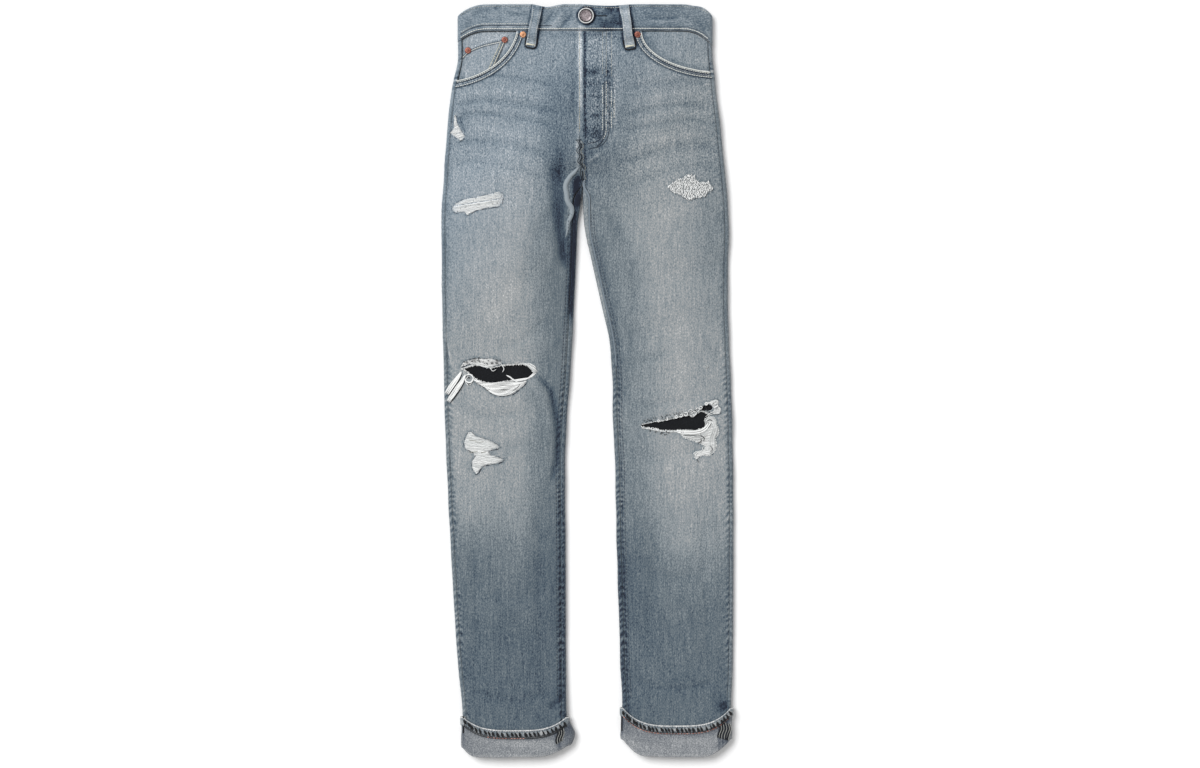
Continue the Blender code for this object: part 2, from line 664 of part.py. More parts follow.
def belt_loop(half):
    """A front belt loop: both ends lie on the cloth and the middle stands clear for a belt."""
    (top_x, top_y), (foot_x, foot_y) = FRONT_LOOPS[half]
    rows = []
    direction = np.array([top_x - foot_x, top_y - foot_y])
    side = np.array([direction[1], -direction[0]]) / np.linalg.norm(direction) * LOOP_WIDTH / 2
    for share in (0.0, 0.09, 0.19, 0.3, 0.5, 0.7, 0.82, 0.91, 1.0):
        x, y = foot_x + share * direction[0], foot_y + share * direction[1]
        arch = smoothstep((share - 0.09) / LOOP_RISE_SHARE) * smoothstep((0.91 - share) / LOOP_RISE_SHARE)
        on_band = smoothstep((y - WAIST_SEAM + 6.0) / 6.0)
        base = surface(half, x, min(y, WAIST_SEAM)) + WAISTBAND_PROUD * on_band
        z = base + GAP + LOOP_WALL + LOOP_RISE * arch + (0.3 if on_band else 0.0)
        rows.append([(x - side[0], y - side[1], z), (x, y, z), (x + side[0], y + side[1], z)])
    cloth(f"belt_loop_front_{half}", rows, LOOP_WALL, "denim_waistband", (0, 0, 1))


def back_loop(name, x):
    """A belt loop on the back, pressed flat between the waistband and the surface."""
    low, high = WAIST_SEAM - BACK_LOOP_BELOW, WAIST_SEAM + WAISTBAND_HEIGHT - BACK_LOOP_SHORT
    half = LOOP_WIDTH / 2
    outline = [(x - half, low), (x + half, low), (x + half, high), (x - half, high)]
    as_part(prism(f"belt_loop_back_{name}", outline, 0.0, BACK_LOOP_WALL), "denim_back")


def cuff(half):
    """The turned-up end of a leg: an outer wall, a round fold and the start of the inner wall."""
    clear = GAP + WALL
    top, bottom = CUFFS[half]["top"], CUFFS[half]["bottom"]
    profile = (          # height of the row, distance outside the leg
        (top, clear), (top - 20.0, clear), (bottom + 8.0, clear + 0.9),
        (bottom + 2.0, clear + 0.9), (bottom, clear - 0.3), (bottom + 0.6, 0.2),
    )
    cloth(f"cuff_{half}", [leg_loop(half, y, out) for y, out in profile], WALL, "denim_inside")


def hem(half):
    """The hem at the cuff's upper edge, a second layer on the outside."""
    clear = 2 * (GAP + WALL)
    top = CUFFS[half]["top"]
    rows = [leg_loop(half, y, clear) for y in (top, top - HEM_HEIGHT)]
    cloth(f"hem_{half}", rows, WALL, "denim_front")


def leg_loop(half, y, out):
    """A loop round a leg, moved out from its form; its last point is its first again."""
    top, under = section(half, y)
    loop = np.concatenate([top, under[::-1][1:-1]])
    loop = spaced(np.concatenate([loop, loop[:1]]), 31)
    closed = np.concatenate([loop[-2:-1], loop, loop[1:2]])
    loop = moved_out(closed, out)[1:-2]
    ease = CUFF_EASE * (2 * loop[:, 0] / top[:, 0].max() - 1) ** 3
    outer, _ = edges(half, y)
    sign = 1.0 if half == "right" else -1.0
    middle = at("floor", y) + SIDE_RADIUS
    points = []
    for across, z, more in zip(loop[:, 0], loop[:, 1], ease):
        x = outer + sign * (across + more)
        front = float(smoothstep((z - middle + 2.0) / 4.0))
        sag = front * cuff_sag(half, x, True) + (1 - front) * cuff_sag(half, x, False)
        points.append((x, y - sag, z))
    return [*points, points[0]]


def button():
    """The waist button: a dished head with a raised rim, on a shank through the buttonhole."""
    x, y = BUTTON_CENTRE
    head = band_under_top() + BAND_LAP_GAP + WAISTBAND_WALL + BUTTON_CLEAR
    shank_end = band_under_top() + GAP - head
    profile = (*BUTTON_FACE, (SHANK_RADIUS, shank_end), (0.0, shank_end))
    turned("waist_button", profile, 28, "button_metal", (x, y, head))


def rivet(name, x, y, depth):
    """A domed rivet with a burr, on the cloth's outer side."""
    half = "right" if x < 0 else "left"
    base = surface(half, x, min(y, WAIST_SEAM)) - depth + GAP
    tilt = surface(half, x + RIVET_RADIUS, y) - surface(half, x - RIVET_RADIUS, y)
    made = turned(name, RIVET_FACE, 16, "copper", (x, y, base + abs(tilt) / 3))
    made.rotation_euler = (0.0, -math.atan(tilt / (2 * RIVET_RADIUS)), 0.0)


def buttonhole_outline():
    """A keyhole: an eye round the button's shank and a narrow slot towards the left side."""
    x, y = BUTTON_CENTRE
    eye = SHANK_RADIUS + 0.9
    h = BUTTONHOLE_HALF_WIDTH
    spread = math.asin(h / eye)
    round_eye = [
        (x + eye * math.cos(a), y + eye * math.sin(a)) for a in np.linspace(spread, 2 * math.pi - spread, 13)
    ]
    end = x + BUTTONHOLE_LENGTH
    return [*round_eye, (end - h, y - h), (end, y), (end - h, y + h)]


# ---------------------------------------------------------------- building
for old in list(bpy.data.objects):
    bpy.data.objects.remove(old)

parts = collection("ripped_jeans")
cutters = collection("cutters")
root = bpy.data.objects.new("jeans_origin", None)
parts.objects.link(root)

FACING_DEPTH = {"right": 2 * (WALL + GAP) - 0.1, "left": WALL + GAP}
for side in ("right", "left"):
    front_panel(side)
    back_panel(side)
    yoke(side)
    pocket_facing(side, FACING_DEPTH[side])
    backing_patch(side)
    back_pocket(side)
    belt_loop(side)
    cuff(side)
    hem(side)
coin_pocket(WALL + GAP)
waistband()
for loop_name, loop_x in BACK_LOOPS.items():
    back_loop(loop_name, loop_x)
button()
for rivet_name, (rivet_x, rivet_y) in RIVETS.items():
    rivet(rivet_name, rivet_x, rivet_y, WALL + GAP if "coin" in rivet_name else 0.0)
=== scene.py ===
# %% [markdown]
# # Ripped jeans, laid flat on their back
# A worn pair of straight-leg jeans: two fronts and two backs sewn into tubes, a waistband, five pockets,
# belt loops and turned-up cuffs. Each piece here is one sheet of denim, worked out with numpy as a grid of
# points on the garment's own form, moved in and out by its creases, and then given its thickness. A grid
# keeps the cloth even and smooth, and lets one number per point say how faded the dye is there.

# %% Load the frame
import math

import bpy
import numpy as np
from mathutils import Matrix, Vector
from mathutils.bvhtree import BVHTree


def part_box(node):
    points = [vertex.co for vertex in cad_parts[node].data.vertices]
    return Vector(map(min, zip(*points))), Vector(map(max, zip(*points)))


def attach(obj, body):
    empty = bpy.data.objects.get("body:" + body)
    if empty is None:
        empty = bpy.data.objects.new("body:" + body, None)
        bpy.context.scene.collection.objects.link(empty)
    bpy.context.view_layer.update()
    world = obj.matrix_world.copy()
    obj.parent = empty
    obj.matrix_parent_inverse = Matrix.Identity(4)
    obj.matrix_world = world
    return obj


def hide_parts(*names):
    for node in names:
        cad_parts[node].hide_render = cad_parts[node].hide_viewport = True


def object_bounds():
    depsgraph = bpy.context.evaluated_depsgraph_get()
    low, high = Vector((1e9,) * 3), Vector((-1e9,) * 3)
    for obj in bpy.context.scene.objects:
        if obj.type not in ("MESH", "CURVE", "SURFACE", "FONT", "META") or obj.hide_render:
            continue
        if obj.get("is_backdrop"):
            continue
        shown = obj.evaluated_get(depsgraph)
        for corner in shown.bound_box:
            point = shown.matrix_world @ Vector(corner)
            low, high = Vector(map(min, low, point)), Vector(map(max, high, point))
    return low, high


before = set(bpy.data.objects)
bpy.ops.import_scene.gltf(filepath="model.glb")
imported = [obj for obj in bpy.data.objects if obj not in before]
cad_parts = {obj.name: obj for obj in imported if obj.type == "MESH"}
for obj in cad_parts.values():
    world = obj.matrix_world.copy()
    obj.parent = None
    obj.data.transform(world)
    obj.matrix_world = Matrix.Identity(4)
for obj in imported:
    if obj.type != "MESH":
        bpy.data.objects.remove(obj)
cad_low, cad_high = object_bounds()
MM = 0.001
rng = np.random.default_rng(501)
print("frame:", len(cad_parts), "nodes,", [round(v, 4) for v in (*cad_low, *cad_high)])

# %% [markdown]
# ## The garment's sizes
# The numbers are millimetres, with the waist towards +Y and the wearer's right leg at -X. One table row
# for each height gives where the side edges lie and how high the cloth rises; everything between the rows
# is read off a smooth curve. The same driving sizes shape the solid model, so each sheet fits its solid.

# %% Driving sizes
WALL, GAP = 1.2, 0.3
SIDE_RADIUS = 5
OUTSEAM_INSET, INSEAM_INSET, CROTCH_INSET = 8.6, 9.4, 13
CROTCH_FRONT, CROTCH_BACK, CROTCH_DIP, CROTCH_SETTLE, CROTCH_SLACK = 287, 259, 38, 60, 1.6
WAIST_SEAM, WAISTBAND_HEIGHT, WAISTBAND_WALL = 500, 38, 2.4
WAISTBAND_PROUD, WAISTBAND_UNDERLAP, BAND_LAP_GAP, WAIST_GAP = 0.6, 30, 0.5, 1
WAIST_DROP = {"right": 16, "left": 21}                        # how far its ends hang below its middle
WAIST_DROP_REACH, WAIST_DROP_POWER, WAIST_DROP_HEIGHT = 45, 2.4, 70
WAIST_DIPS = ((-60, 24, 4), (24, 46, 2.6))                    # middle, half width, depth
WAIST_CORNER_LIFT, WAIST_CORNER_X, WAIST_CORNER_REACH = 5, 146, 22
FLY_END, FLY_WIDTH, FLY_UNDERLAP = 343, 38, 12
FLY_FLAT_SHARE, FLY_SLOPE_SHARE, FLY_LIFT_RISE = 0.45, 0.5, 14
CUFFS = {
    "right": {"top": -481, "bottom": -522, "sag": 18.5},
    "left": {"top": -468, "bottom": -513, "sag": 25},
}
CUFF_RISE_BACK, CUFF_EASE, LEG_IN_CUFF, HEM_HEIGHT = 5, 0.8, 9, 12
CUFF_SAG_START, CUFF_SAG_LENGTH, CUFF_SAG_SPREAD, CUFF_SAG_POWER = -430, 45, 1.01, 3.5
SIDES = ("right", "left")
SIGN = {"right": 1.0, "left": -1.0}       # the way from a half's outer edge to its inner edge, along X

COLUMNS = ("y", "right_out", "right_in", "left_in", "left_out", "top", "floor")
SECTIONS = np.array((
    (-540, -180.5, -32.0, 47.5, 201.5, 17.0, 3.4),
    (-500, -180.5, -32.0, 47.5, 201.5, 17.0, 3.4),
    (-463, -182.0, -32.5, 47.0, 203.0, 16.0, 3.0),
    (-413, -187.7, -33.0, 44.5, 205.3, 15.5, 0.0),
    (-342, -192.5, -33.3, 42.3, 206.0, 15.5, 0.0),
    (-270, -196.8, -33.5, 40.0, 206.5, 15.5, 0.0),
    (-199, -200.6, -34.0, 38.0, 206.5, 16.0, 0.0),
    (-127, -204.0, -34.5, 37.0, 206.0, 16.5, 0.0),
    (-56, -207.0, -32.0, 33.5, 204.5, 17.0, 0.0),
    (9, -208.4, -27.0, 32.5, 202.5, 18.0, 0.0),
    (59, -209.8, -24.0, 28.0, 200.2, 19.0, 0.0),
    (116, -211.0, -21.0, 15.5, 198.5, 21.0, 0.0),
    (173, -211.5, -18.5, 3.0, 199.3, 23.0, 0.0),
    (223, -212.0, -16.0, -7.5, 200.0, 24.0, 0.8),
    (259, -210.8, -11.0, -10.0, 198.3, 24.0, 2.1),
    (287, -208.6, -8.5, -8.5, 195.5, 24.0, 2.1),
    (330, -205.8, -12.0, -12.0, 191.3, 23.5, 2.1),
    (373, -202.3, -14.5, -14.5, 186.5, 22.5, 2.1),
    (416, -197.0, -14.0, -14.0, 181.5, 21.0, 2.1),
    (459, -188.8, -15.0, -15.0, 177.5, 19.0, 2.1),
    (500, -188.0, -16.5, -16.5, 176.0, 16.5, 2.1),
    (540, -188.0, -16.0, -16.0, 176.0, 15.5, 2.1),
), float)
print("form:", len(SECTIONS), "sections from", SECTIONS[0, 0], "to", SECTIONS[-1, 0], "mm")

# %% [markdown]
# ## The form as a function of two parameters
# A point of the cloth is found from its height `y` and its girth `g`, the way along the cloth from the
# outer edge: `g` above 0 goes over the front, below 0 round the back. Working with girth instead of `x`
# keeps the grid even where the cloth rolls over the side. Above the crotch both halves are one pillow,
# below it each leg has its own, and `share` goes smoothly from 0 to 1 between the two.


# %% The form
def smoothstep(t):
    """0 below 0, 1 above 1, and 3t^2 - 2t^3 between."""
    t = np.clip(t, 0, 1)
    return t * t * (3 - 2 * t)


def bump(d, half_width):
    """A soft hill: exp(-(d / half_width)^2)."""
    return np.exp(-((d / half_width) ** 2))


def read_off(column, y):
    """A column of SECTIONS at the heights y, on a cubic through its rows with their mean slopes."""
    heights, values = SECTIONS[:, 0], SECTIONS[:, COLUMNS.index(column)]
    slopes = np.gradient(values, heights)
    y = np.clip(y, heights[0], heights[-1])
    i = np.clip(np.searchsorted(heights, y, side="right") - 1, 0, len(heights) - 2)
    step = heights[i + 1] - heights[i]
    t = (y - heights[i]) / step
    return (
        values[i] * (2 * t**3 - 3 * t**2 + 1)
        + values[i + 1] * (3 * t**2 - 2 * t**3)
        + slopes[i] * step * (t**3 - 2 * t**2 + t)
        + slopes[i + 1] * step * (t**3 - t**2)
    )


def section(half, y):
    """Lengths and angles of one half's section at the heights y.

    A quarter roll of SIDE_RADIUS, a crown that is a parabola, and for a leg a second roll; the underside
    is flat between the rolls. top and under are the lengths of cloth over and under."""
    sign = SIGN[half]
    s = {"sign": sign, "outer": read_off(f"{half}_out", y), "floor": read_off("floor", y)}
    s["inner"] = read_off(f"{half}_in", y) - sign * GAP / 2
    s["rise"] = read_off("top", y) - s["floor"] - 2 * SIDE_RADIUS
    s["share"] = smoothstep((CROTCH_FRONT + CROTCH_DIP - y) / CROTCH_DIP)
    s["turn"] = s["share"] * math.pi / 2
    s["span"] = np.abs(s["inner"] - s["outer"]) - SIDE_RADIUS * (1 + np.sin(s["turn"]))
    slope = s["rise"] / s["span"]
    s["tilt_out"] = np.arctan(slope * (2 + 2 * s["share"]))
    s["tilt_in"] = np.arctan(-4 * slope * s["share"])
    s["roll"] = SIDE_RADIUS * (math.pi / 2 - s["tilt_out"])
    bow = slope**2 * (2 / 3 + 2 * s["share"])
    s["crown"] = s["span"] * (1 + bow) + SIDE_RADIUS * (s["tilt_out"] - s["tilt_in"])
    s["top"] = s["roll"] + s["crown"] + SIDE_RADIUS * (s["turn"] + s["tilt_in"])
    s["under"] = SIDE_RADIUS * math.pi / 2 + s["span"] + SIDE_RADIUS * s["turn"]
    return s


def crown_tilt(s, u):
    """How steep a section's crown is at the share u of its span."""
    steep = (1 - s["share"]) * 2 * (1 - u) + s["share"] * 4 * (1 - 2 * u)
    return np.arctan(s["rise"] / s["span"] * steep)


def on_section(s, g):
    """x and z of the girths g on a section; g below -under comes up the inner roll from behind."""
    r, core = SIDE_RADIUS, s["floor"] + SIDE_RADIUS
    g = np.where(g < -s["under"], g + s["under"] + s["top"], g)
    roll = -math.pi / 2 + g / r
    u = (g - s["roll"]) / s["crown"]
    tilt = crown_tilt(s, u)
    crown = (1 - s["share"]) * (1 - (1 - u) ** 2) + s["share"] * (1 - (2 * u - 1) ** 2)
    close = -s["tilt_in"] + (g - s["roll"] - s["crown"]) / r
    beneath = -g - r * math.pi / 2
    up = math.pi - (beneath - s["span"]) / r
    closing = (u > 1) & (s["share"] > 1e-6)
    cases = [g < -r * math.pi / 2 - s["span"], g < -r * math.pi / 2, g < s["roll"], closing]
    across = np.select(
        cases,
        [r + s["span"] + r * np.sin(up), r + beneath, r + r * np.sin(roll),
         r + s["span"] + r * np.sin(close)],
        r + s["span"] * u - r * np.sin(tilt),
    )
    z = np.select(
        cases,
        [core + r * np.cos(up), s["floor"] + 0 * g, core + r * np.cos(roll),
         core + s["rise"] * (1 - s["share"]) + r * np.cos(close)],
        core + s["rise"] * crown + r * np.cos(tilt),
    )
    return s["outer"] + s["sign"] * across, z


def waist_drop(x, y):
    """How far the waist hangs below its row at its two ends, and where its upper edge dips."""
    drop = 0
    for half in SIDES:
        from_end = SIGN[half] * (x - read_off(f"{half}_out", WAIST_SEAM))
        drop = drop + WAIST_DROP[half] * np.clip(1 - from_end / WAIST_DROP_REACH, 0, 1) ** WAIST_DROP_POWER
    rise = np.clip((y - WAIST_SEAM) / WAISTBAND_HEIGHT, 0, 1)
    drop = drop - WAIST_CORNER_LIFT * rise * smoothstep((x - WAIST_CORNER_X) / WAIST_CORNER_REACH)
    for middle, half_width, depth in WAIST_DIPS:
        drop = drop + rise * depth * (1 - smoothstep(np.abs(x - middle) / half_width))
    return drop * smoothstep((y - WAIST_SEAM + WAIST_DROP_HEIGHT) / WAIST_DROP_HEIGHT)


def cuff_sag(half, x, front):
    """How far the cuff hangs below its ends; front is 1 on the front and 0 on the back."""
    s = section(half, np.array(CUFFS[half]["top"]))
    share = np.abs(2 * (x - s["outer"]) / (s["inner"] - s["outer"]) - 1)
    hollow = 1 - np.minimum(1, CUFF_SAG_SPREAD * share) ** CUFF_SAG_POWER
    return (front * CUFFS[half]["sag"] - (1 - front) * CUFF_RISE_BACK) * hollow


def fly_lift(x, y):
    """How far the left front stands up where it laps over the right one."""
    off_flat = x - read_off("left_in", y) - FLY_WIDTH * FLY_FLAT_SHARE
    near = 1 - smoothstep(off_flat / (FLY_WIDTH * FLY_SLOPE_SHARE))
    return (WALL + GAP) * near * smoothstep((y - FLY_END + FLY_LIFT_RISE) / FLY_LIFT_RISE)


def on_form(half, y, g, front=1, fly=False):
    """Points (x, y, z) in millimetres of the cloth at the heights y and girths g."""
    x, z = on_section(section(half, y), g)
    if fly:
        z = z + fly_lift(x, y)
    hung = smoothstep((CUFF_SAG_START - y) / CUFF_SAG_LENGTH)
    return together(x, y - waist_drop(x, y) - cuff_sag(half, x, front) * hung, z)


def inner_seam(half, y):
    """The girth of a front's inner edge at the heights y; its outer edge is at OUTSEAM_INSET."""
    below = smoothstep((CROTCH_FRONT - y) / (CROTCH_FRONT - CROTCH_BACK))
    settled = smoothstep((CROTCH_BACK - y) / CROTCH_SETTLE)
    return section(half, y)["top"] - below * (CROTCH_INSET + (INSEAM_INSET - CROTCH_INSET) * settled)


for side in SIDES:
    knee = section(side, np.array(0))
    print(side, "knee: cloth over and under", [round(float(knee[key]), 1) for key in ("top", "under")], "mm")

# %% [markdown]
# ## Cloth as a grid, and how it gets its creases
# Real cloth keeps the shape its wearer left in it: troughs, ridges, puckers beside each seam. One could
# sculpt them, or run a cloth simulation, but a list of soft lines can be read and changed. Each line pushes
# the cloth in or out and makes it paler or darker: worn denim fades on its ridges, and the darker colour
# in the deeper troughs is partly painted shade.


# %% Lines and distances
def together(*parts):
    """Points from arrays of their coordinates."""
    return np.stack(parts, axis=-1)


def with_z(xy, z):
    """Points (x, y, z) from points (x, y) and their heights."""
    return np.concatenate([xy, z[..., None]], axis=-1)


def closed(outline):
    """An outline with its first point again at its end."""
    return np.array([*outline, outline[0]])


def smooth_line(points, per_span=6):
    """A curve through the points (Catmull-Rom): each span is a cubic of its four nearest points."""
    p = np.array(points, float)
    q = np.vstack([2 * p[:1] - p[1:2], p, 2 * p[-1:] - p[-2:-1]])
    t = np.linspace(0, 1, per_span, endpoint=False)[:, None]
    a, b, c, d = (q[k : len(q) - 3 + k, None] for k in range(4))
    spans = 0.5 * (2 * b + (c - a) * t + (2 * a - 5 * b + 4 * c - d) * t**2 + (3 * b - a - 3 * c + d) * t**3)
    return np.vstack([spans.reshape(-1, p.shape[1]), p[-1:]])


def so_far(line):
    """How far along a line each of its points is."""
    return np.concatenate([[0], np.cumsum(np.linalg.norm(np.diff(line, axis=0), axis=1))])


def read_along(line, along, places):
    """The line at some places, where along says the place of each of its own points."""
    return together(*(np.interp(places, along, line[:, k]) for k in range(line.shape[1])))


def evenly(line, pitch):
    """Points along a smooth line at an even pitch."""
    line = smooth_line(line) if len(line) < 40 else np.asarray(line, float)
    along = so_far(line)
    return read_along(line, along, np.arange(0, along[-1], pitch))


def near_line(line, x, y):
    """Distance of (x, y) from a line, how far along it the nearest place is (0 to 1), and that place."""
    x, y = np.broadcast_arrays(x, y)
    away, share = np.full(x.shape, np.inf), np.zeros(x.shape)
    nearest = np.zeros(x.shape + (2,))
    steps = np.diff(line, axis=0)
    lengths = np.maximum(np.linalg.norm(steps, axis=1), 1e-9)
    before = np.concatenate([[0], np.cumsum(lengths)])
    for (ax, ay), (dx, dy), length, start in zip(line, steps, lengths, before):
        t = np.clip(((x - ax) * dx + (y - ay) * dy) / length**2, 0, 1)
        px, py = ax + t * dx, ay + t * dy
        d = np.hypot(x - px, y - py)
        closer = d < away
        away = np.where(closer, d, away)
        share = np.where(closer, (start + t * length) / before[-1], share)
        nearest = np.where(closer[..., None], together(px, py), nearest)
    return away, share, nearest


def inside(outline, x, y):
    """True where (x, y) is inside a closed outline: a ray to the right crosses it an odd number of times."""
    crossed = np.zeros(np.shape(x), bool)
    for (ax, ay), (bx, by) in zip(outline, np.roll(outline, -1, axis=0)):
        if ay != by:
            crossed ^= ((ay > y) != (by > y)) & (x < ax + (bx - ax) * (y - ay) / (by - ay))
    return crossed


# %% Creases, wear and a slow swell
def creased(lines, x, y):
    """Height and fade that a table of creases gives at (x, y): soft hills along lines that taper out."""
    height, fade = np.zeros(np.shape(x)), np.zeros(np.shape(x))
    for points, half_width, rise, paler in lines:
        away, share, _ = near_line(smooth_line(points), x, y)
        hill = bump(away, half_width) * smoothstep(share / 0.18) * smoothstep((1 - share) / 0.18)
        height, fade = height + rise * hill, fade + paler * hill
    return height, fade


def worn(areas, x, y):
    """Fade of soft oval areas: amount * exp(-(dx / half width)^2 - (dy / half length)^2)."""
    fade = np.zeros(np.shape(x))
    for centre_x, centre_y, half_width, half_length, amount in areas:
        fade = fade + amount * bump(x - centre_x, half_width) * bump(y - centre_y, half_length)
    return fade


WAVE_LIMITS = (55, 150), (-0.5, 0.5), (0, 6.3), (0.4, 1)      # length, slant, phase and weight of a wave
waves = [[rng.uniform(*limits) for limits in WAVE_LIMITS] for _ in range(14)]


def unevenness(x, y):
    """A slow swell of cloth that never lies quite flat: waves of many lengths, mostly across the leg."""
    total = sum(w * np.sin(2 * math.pi * (y + a * x) / length + phase) for length, a, phase, w in waves)
    return total / len(waves) ** 0.5


# %% Grids

def normals_of(grid, wrap=False):
    """Unit normals of a grid: the cross product of its steps along columns and rows."""
    if wrap:
        across = np.roll(grid, -1, axis=1) - np.roll(grid, 1, axis=1)
    else:
        across = np.gradient(grid, axis=1)
    n = np.cross(across, np.gradient(grid, axis=0))
    return n / np.maximum(np.linalg.norm(n, axis=-1, keepdims=True), 1e-9)


def quads_of(grid, wrap=False, flip=False):
    """Corner numbers of a grid's squares; wrap joins its last column to its first, flip turns them over."""
    i = np.arange(grid.shape[0] * grid.shape[1]).reshape(grid.shape[:2])
    if wrap:
        i = np.concatenate([i, i[:, :1]], axis=1)
    quads = together(i[:-1, :-1], i[:-1, 1:], i[1:, 1:], i[1:, :-1]).reshape(-1, 4)
    return quads[:, ::-1] if flip else quads


def cut_out(points, normals, quads, outline, reach=4):
    """The squares outside an outline; the corners left along it slide over the cloth onto the outline."""
    points, normals = points.reshape(-1, 3).copy(), normals.reshape(-1, 3)
    middle = points[quads].mean(axis=1)
    gone = inside(outline, middle[:, 0], middle[:, 1]) & (normals[quads[:, 0], 2] > 0.05)
    rim = np.intersect1d(quads[gone], quads[~gone])
    away, _, nearest = near_line(np.vstack([outline, outline[:1]]), points[rim, 0], points[rim, 1])
    step = np.zeros((len(rim), 3))
    step[:, :2] = nearest - points[rim, :2]
    step[:, 2] = -(normals[rim, :2] * step[:, :2]).sum(axis=1) / np.maximum(normals[rim, 2], 0.2)
    points[rim] += step * (away < reach)[:, None]
    return points, quads[~gone]


# %% From arrays to finished pieces
def piece(name, points, faces, materials, fade=None, wall=0, bevel=0, speck=1):
    """A finished piece from points in millimetres. wall lays its thickness inwards, in the last material.
    fade and speck, how faded and how speckled the cloth is, are kept as one number per point; in places the
    fade also holds painted shade or a painted highlight."""
    used, corners = np.unique(faces, return_inverse=True)
    mesh = bpy.data.meshes.new(name)
    mesh.vertices.add(len(used))
    mesh.vertices.foreach_set("co", (points.reshape(-1, 3)[used] * MM).ravel())
    mesh.loops.add(corners.size)
    mesh.loops.foreach_set("vertex_index", corners.ravel())
    mesh.polygons.add(len(faces))
    mesh.polygons.foreach_set("loop_start", np.arange(0, corners.size, faces.shape[1]))
    mesh.update(calc_edges=True)
    mesh.shade_smooth()
    if fade is not None:
        for key, values in (("fade", fade), ("speck", np.broadcast_to(speck, np.shape(fade)))):
            mesh.attributes.new(key, "FLOAT", "POINT").data.foreach_set("value", np.ravel(values)[used])
    for material in materials:
        mesh.materials.append(material)
    made = bpy.data.objects.new(name, mesh)
    bpy.context.scene.collection.objects.link(made)
    if wall:
        thick = made.modifiers.new("wall", "SOLIDIFY")
        thick.thickness, thick.offset = wall * MM, -1
        thick.material_offset = thick.material_offset_rim = len(materials) - 1
    if bevel:
        soft = made.modifiers.new("soft_edge", "BEVEL")
        soft.width, soft.segments, soft.angle_limit = bevel * MM, 2, math.radians(55)
    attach(made, "root")
    return made


def stands_for(node_name):
    """A piece takes the place of its solid."""
    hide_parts(node_name)


def cloth(node_name, points, quads, fade, flat, rests_on, slot="front_denim", held="laid", area=None,
          wall=WALL, finishes=None, **more):
    """A sheet of cloth in the place of its solid; its flat size in metres is printed. It has its slot's
    finishes unless it is given its own."""
    made = piece(f"{node_name}_cloth", points, quads, finishes or FINISHES[slot], fade, wall, **more)
    stands_for(node_name)
    low, high = (np.round(np.array(c) / MM, 1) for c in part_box(node_name))
    spread = points.reshape(-1, 3)
    print(made.name, "cut", [round(v / MM) for v in flat], "mm, lies from", spread.min(axis=0).round(1),
          "to", spread.max(axis=0).round(1), "and its solid from", low, "to", high)


swell = unevenness(0, np.linspace(-500, 500, 999))
print("unevenness from", round(swell.min(), 2), "to", round(swell.max(), 2), "mm before it is scaled")

# %% [markdown]
# ## Denim
# Denim is dyed blue yarn along the leg and undyed yarn across it. Wear takes the blue off unevenly, so one
# number per point, the fade, chooses a colour on a ramp from deep blue to near white. In troughs, grooves
# and round raised parts the same number is also lowered to paint shade, and on a few edges raised to paint
# a highlight. Noise stretched along the leg adds the slubs of the yarn, finer noise the salt-and-pepper of
# the weave, and a diagonal wave the twill. The patterns read Object coordinates, so they run unbroken from
# panel to panel.

# %% Small steps of a material
LIGHT = 1.1            # how bright the light makes a white surface


def linear(red, green, blue):
    """The scene's linear colour of an everyday 0 to 255 colour, as the studio light will show it."""
    c = np.array((red, green, blue)) / 255
    c = np.where(c <= 0.04045, c / 12.92, ((c + 0.055) / 1.055) ** 2.4) / LIGHT
    return (*c, 1)


def feed(tree, made, inputs):
    """Sets a node's sockets by name, each to a number or to another node's output."""
    for socket, value in inputs.items():
        if isinstance(value, bpy.types.NodeSocket):
            tree.links.new(value, made.inputs[socket])
        else:
            made.inputs[socket].default_value = value
    return made


def node(tree, kind, inputs, **settings):
    """Adds a shader node with its inputs and settings."""
    made = tree.nodes.new(kind)
    for key, value in settings.items():
        setattr(made, key, value)
    return feed(tree, made, inputs)


def finish(name, roughness, metallic=0, sheen=0):
    """A new material, its tree and its shader."""
    made = bpy.data.materials.new(name)
    made.use_nodes = True
    tree = made.node_tree
    sockets = {"Roughness": roughness, "Metallic": metallic, "Sheen Weight": sheen}
    sockets["Specular IOR Level"] = 0.5 if metallic else 0.25
    return made, tree, feed(tree, tree.nodes["Principled BSDF"], sockets)


def grain(tree, scale, detail=2):
    """Noise on Object coordinates, scale = cells per metre along x, y and z; about 0.5 on average."""
    place = node(tree, "ShaderNodeTexCoord", {}).outputs["Object"]
    placed = node(tree, "ShaderNodeMapping", {"Vector": place, "Scale": scale}).outputs["Vector"]
    noise = {"Vector": placed, "Scale": 1, "Detail": detail, "Roughness": 0.6}
    return node(tree, "ShaderNodeTexNoise", noise).outputs["Fac"]


def maths(tree, operation, a, b=0, c=0):
    """One step of arithmetic on two or three numbers or outputs."""
    return node(tree, "ShaderNodeMath", {0: a, 1: b, 2: c}, operation=operation).outputs["Value"]


def swayed(tree, total, noise, amount):
    """total + amount * (noise - 0.5)."""
    return maths(tree, "MULTIPLY_ADD", maths(tree, "SUBTRACT", noise, 0.5), amount, total)


def point_number(tree, key):
    """The number that each point keeps under a name."""
    return node(tree, "ShaderNodeAttribute", {}, attribute_name=key).outputs["Fac"]


def ramp(tree, value, stops):
    """A colour ramp from (position, everyday colour) stops."""
    made, stops = node(tree, "ShaderNodeValToRGB", {"Fac": value}), tuple(stops)
    while len(made.color_ramp.elements) < len(stops):
        made.color_ramp.elements.new(0.5)
    for element, (position, colour) in zip(made.color_ramp.elements, stops):
        element.position, element.color = position, linear(*colour)
    return made.outputs["Color"]


def raised(tree, height, strength, distance):
    """A surface's direction from a height, distance metres deep."""
    inputs = {"Height": height, "Strength": strength, "Distance": distance}
    return node(tree, "ShaderNodeBump", inputs).outputs["Normal"]


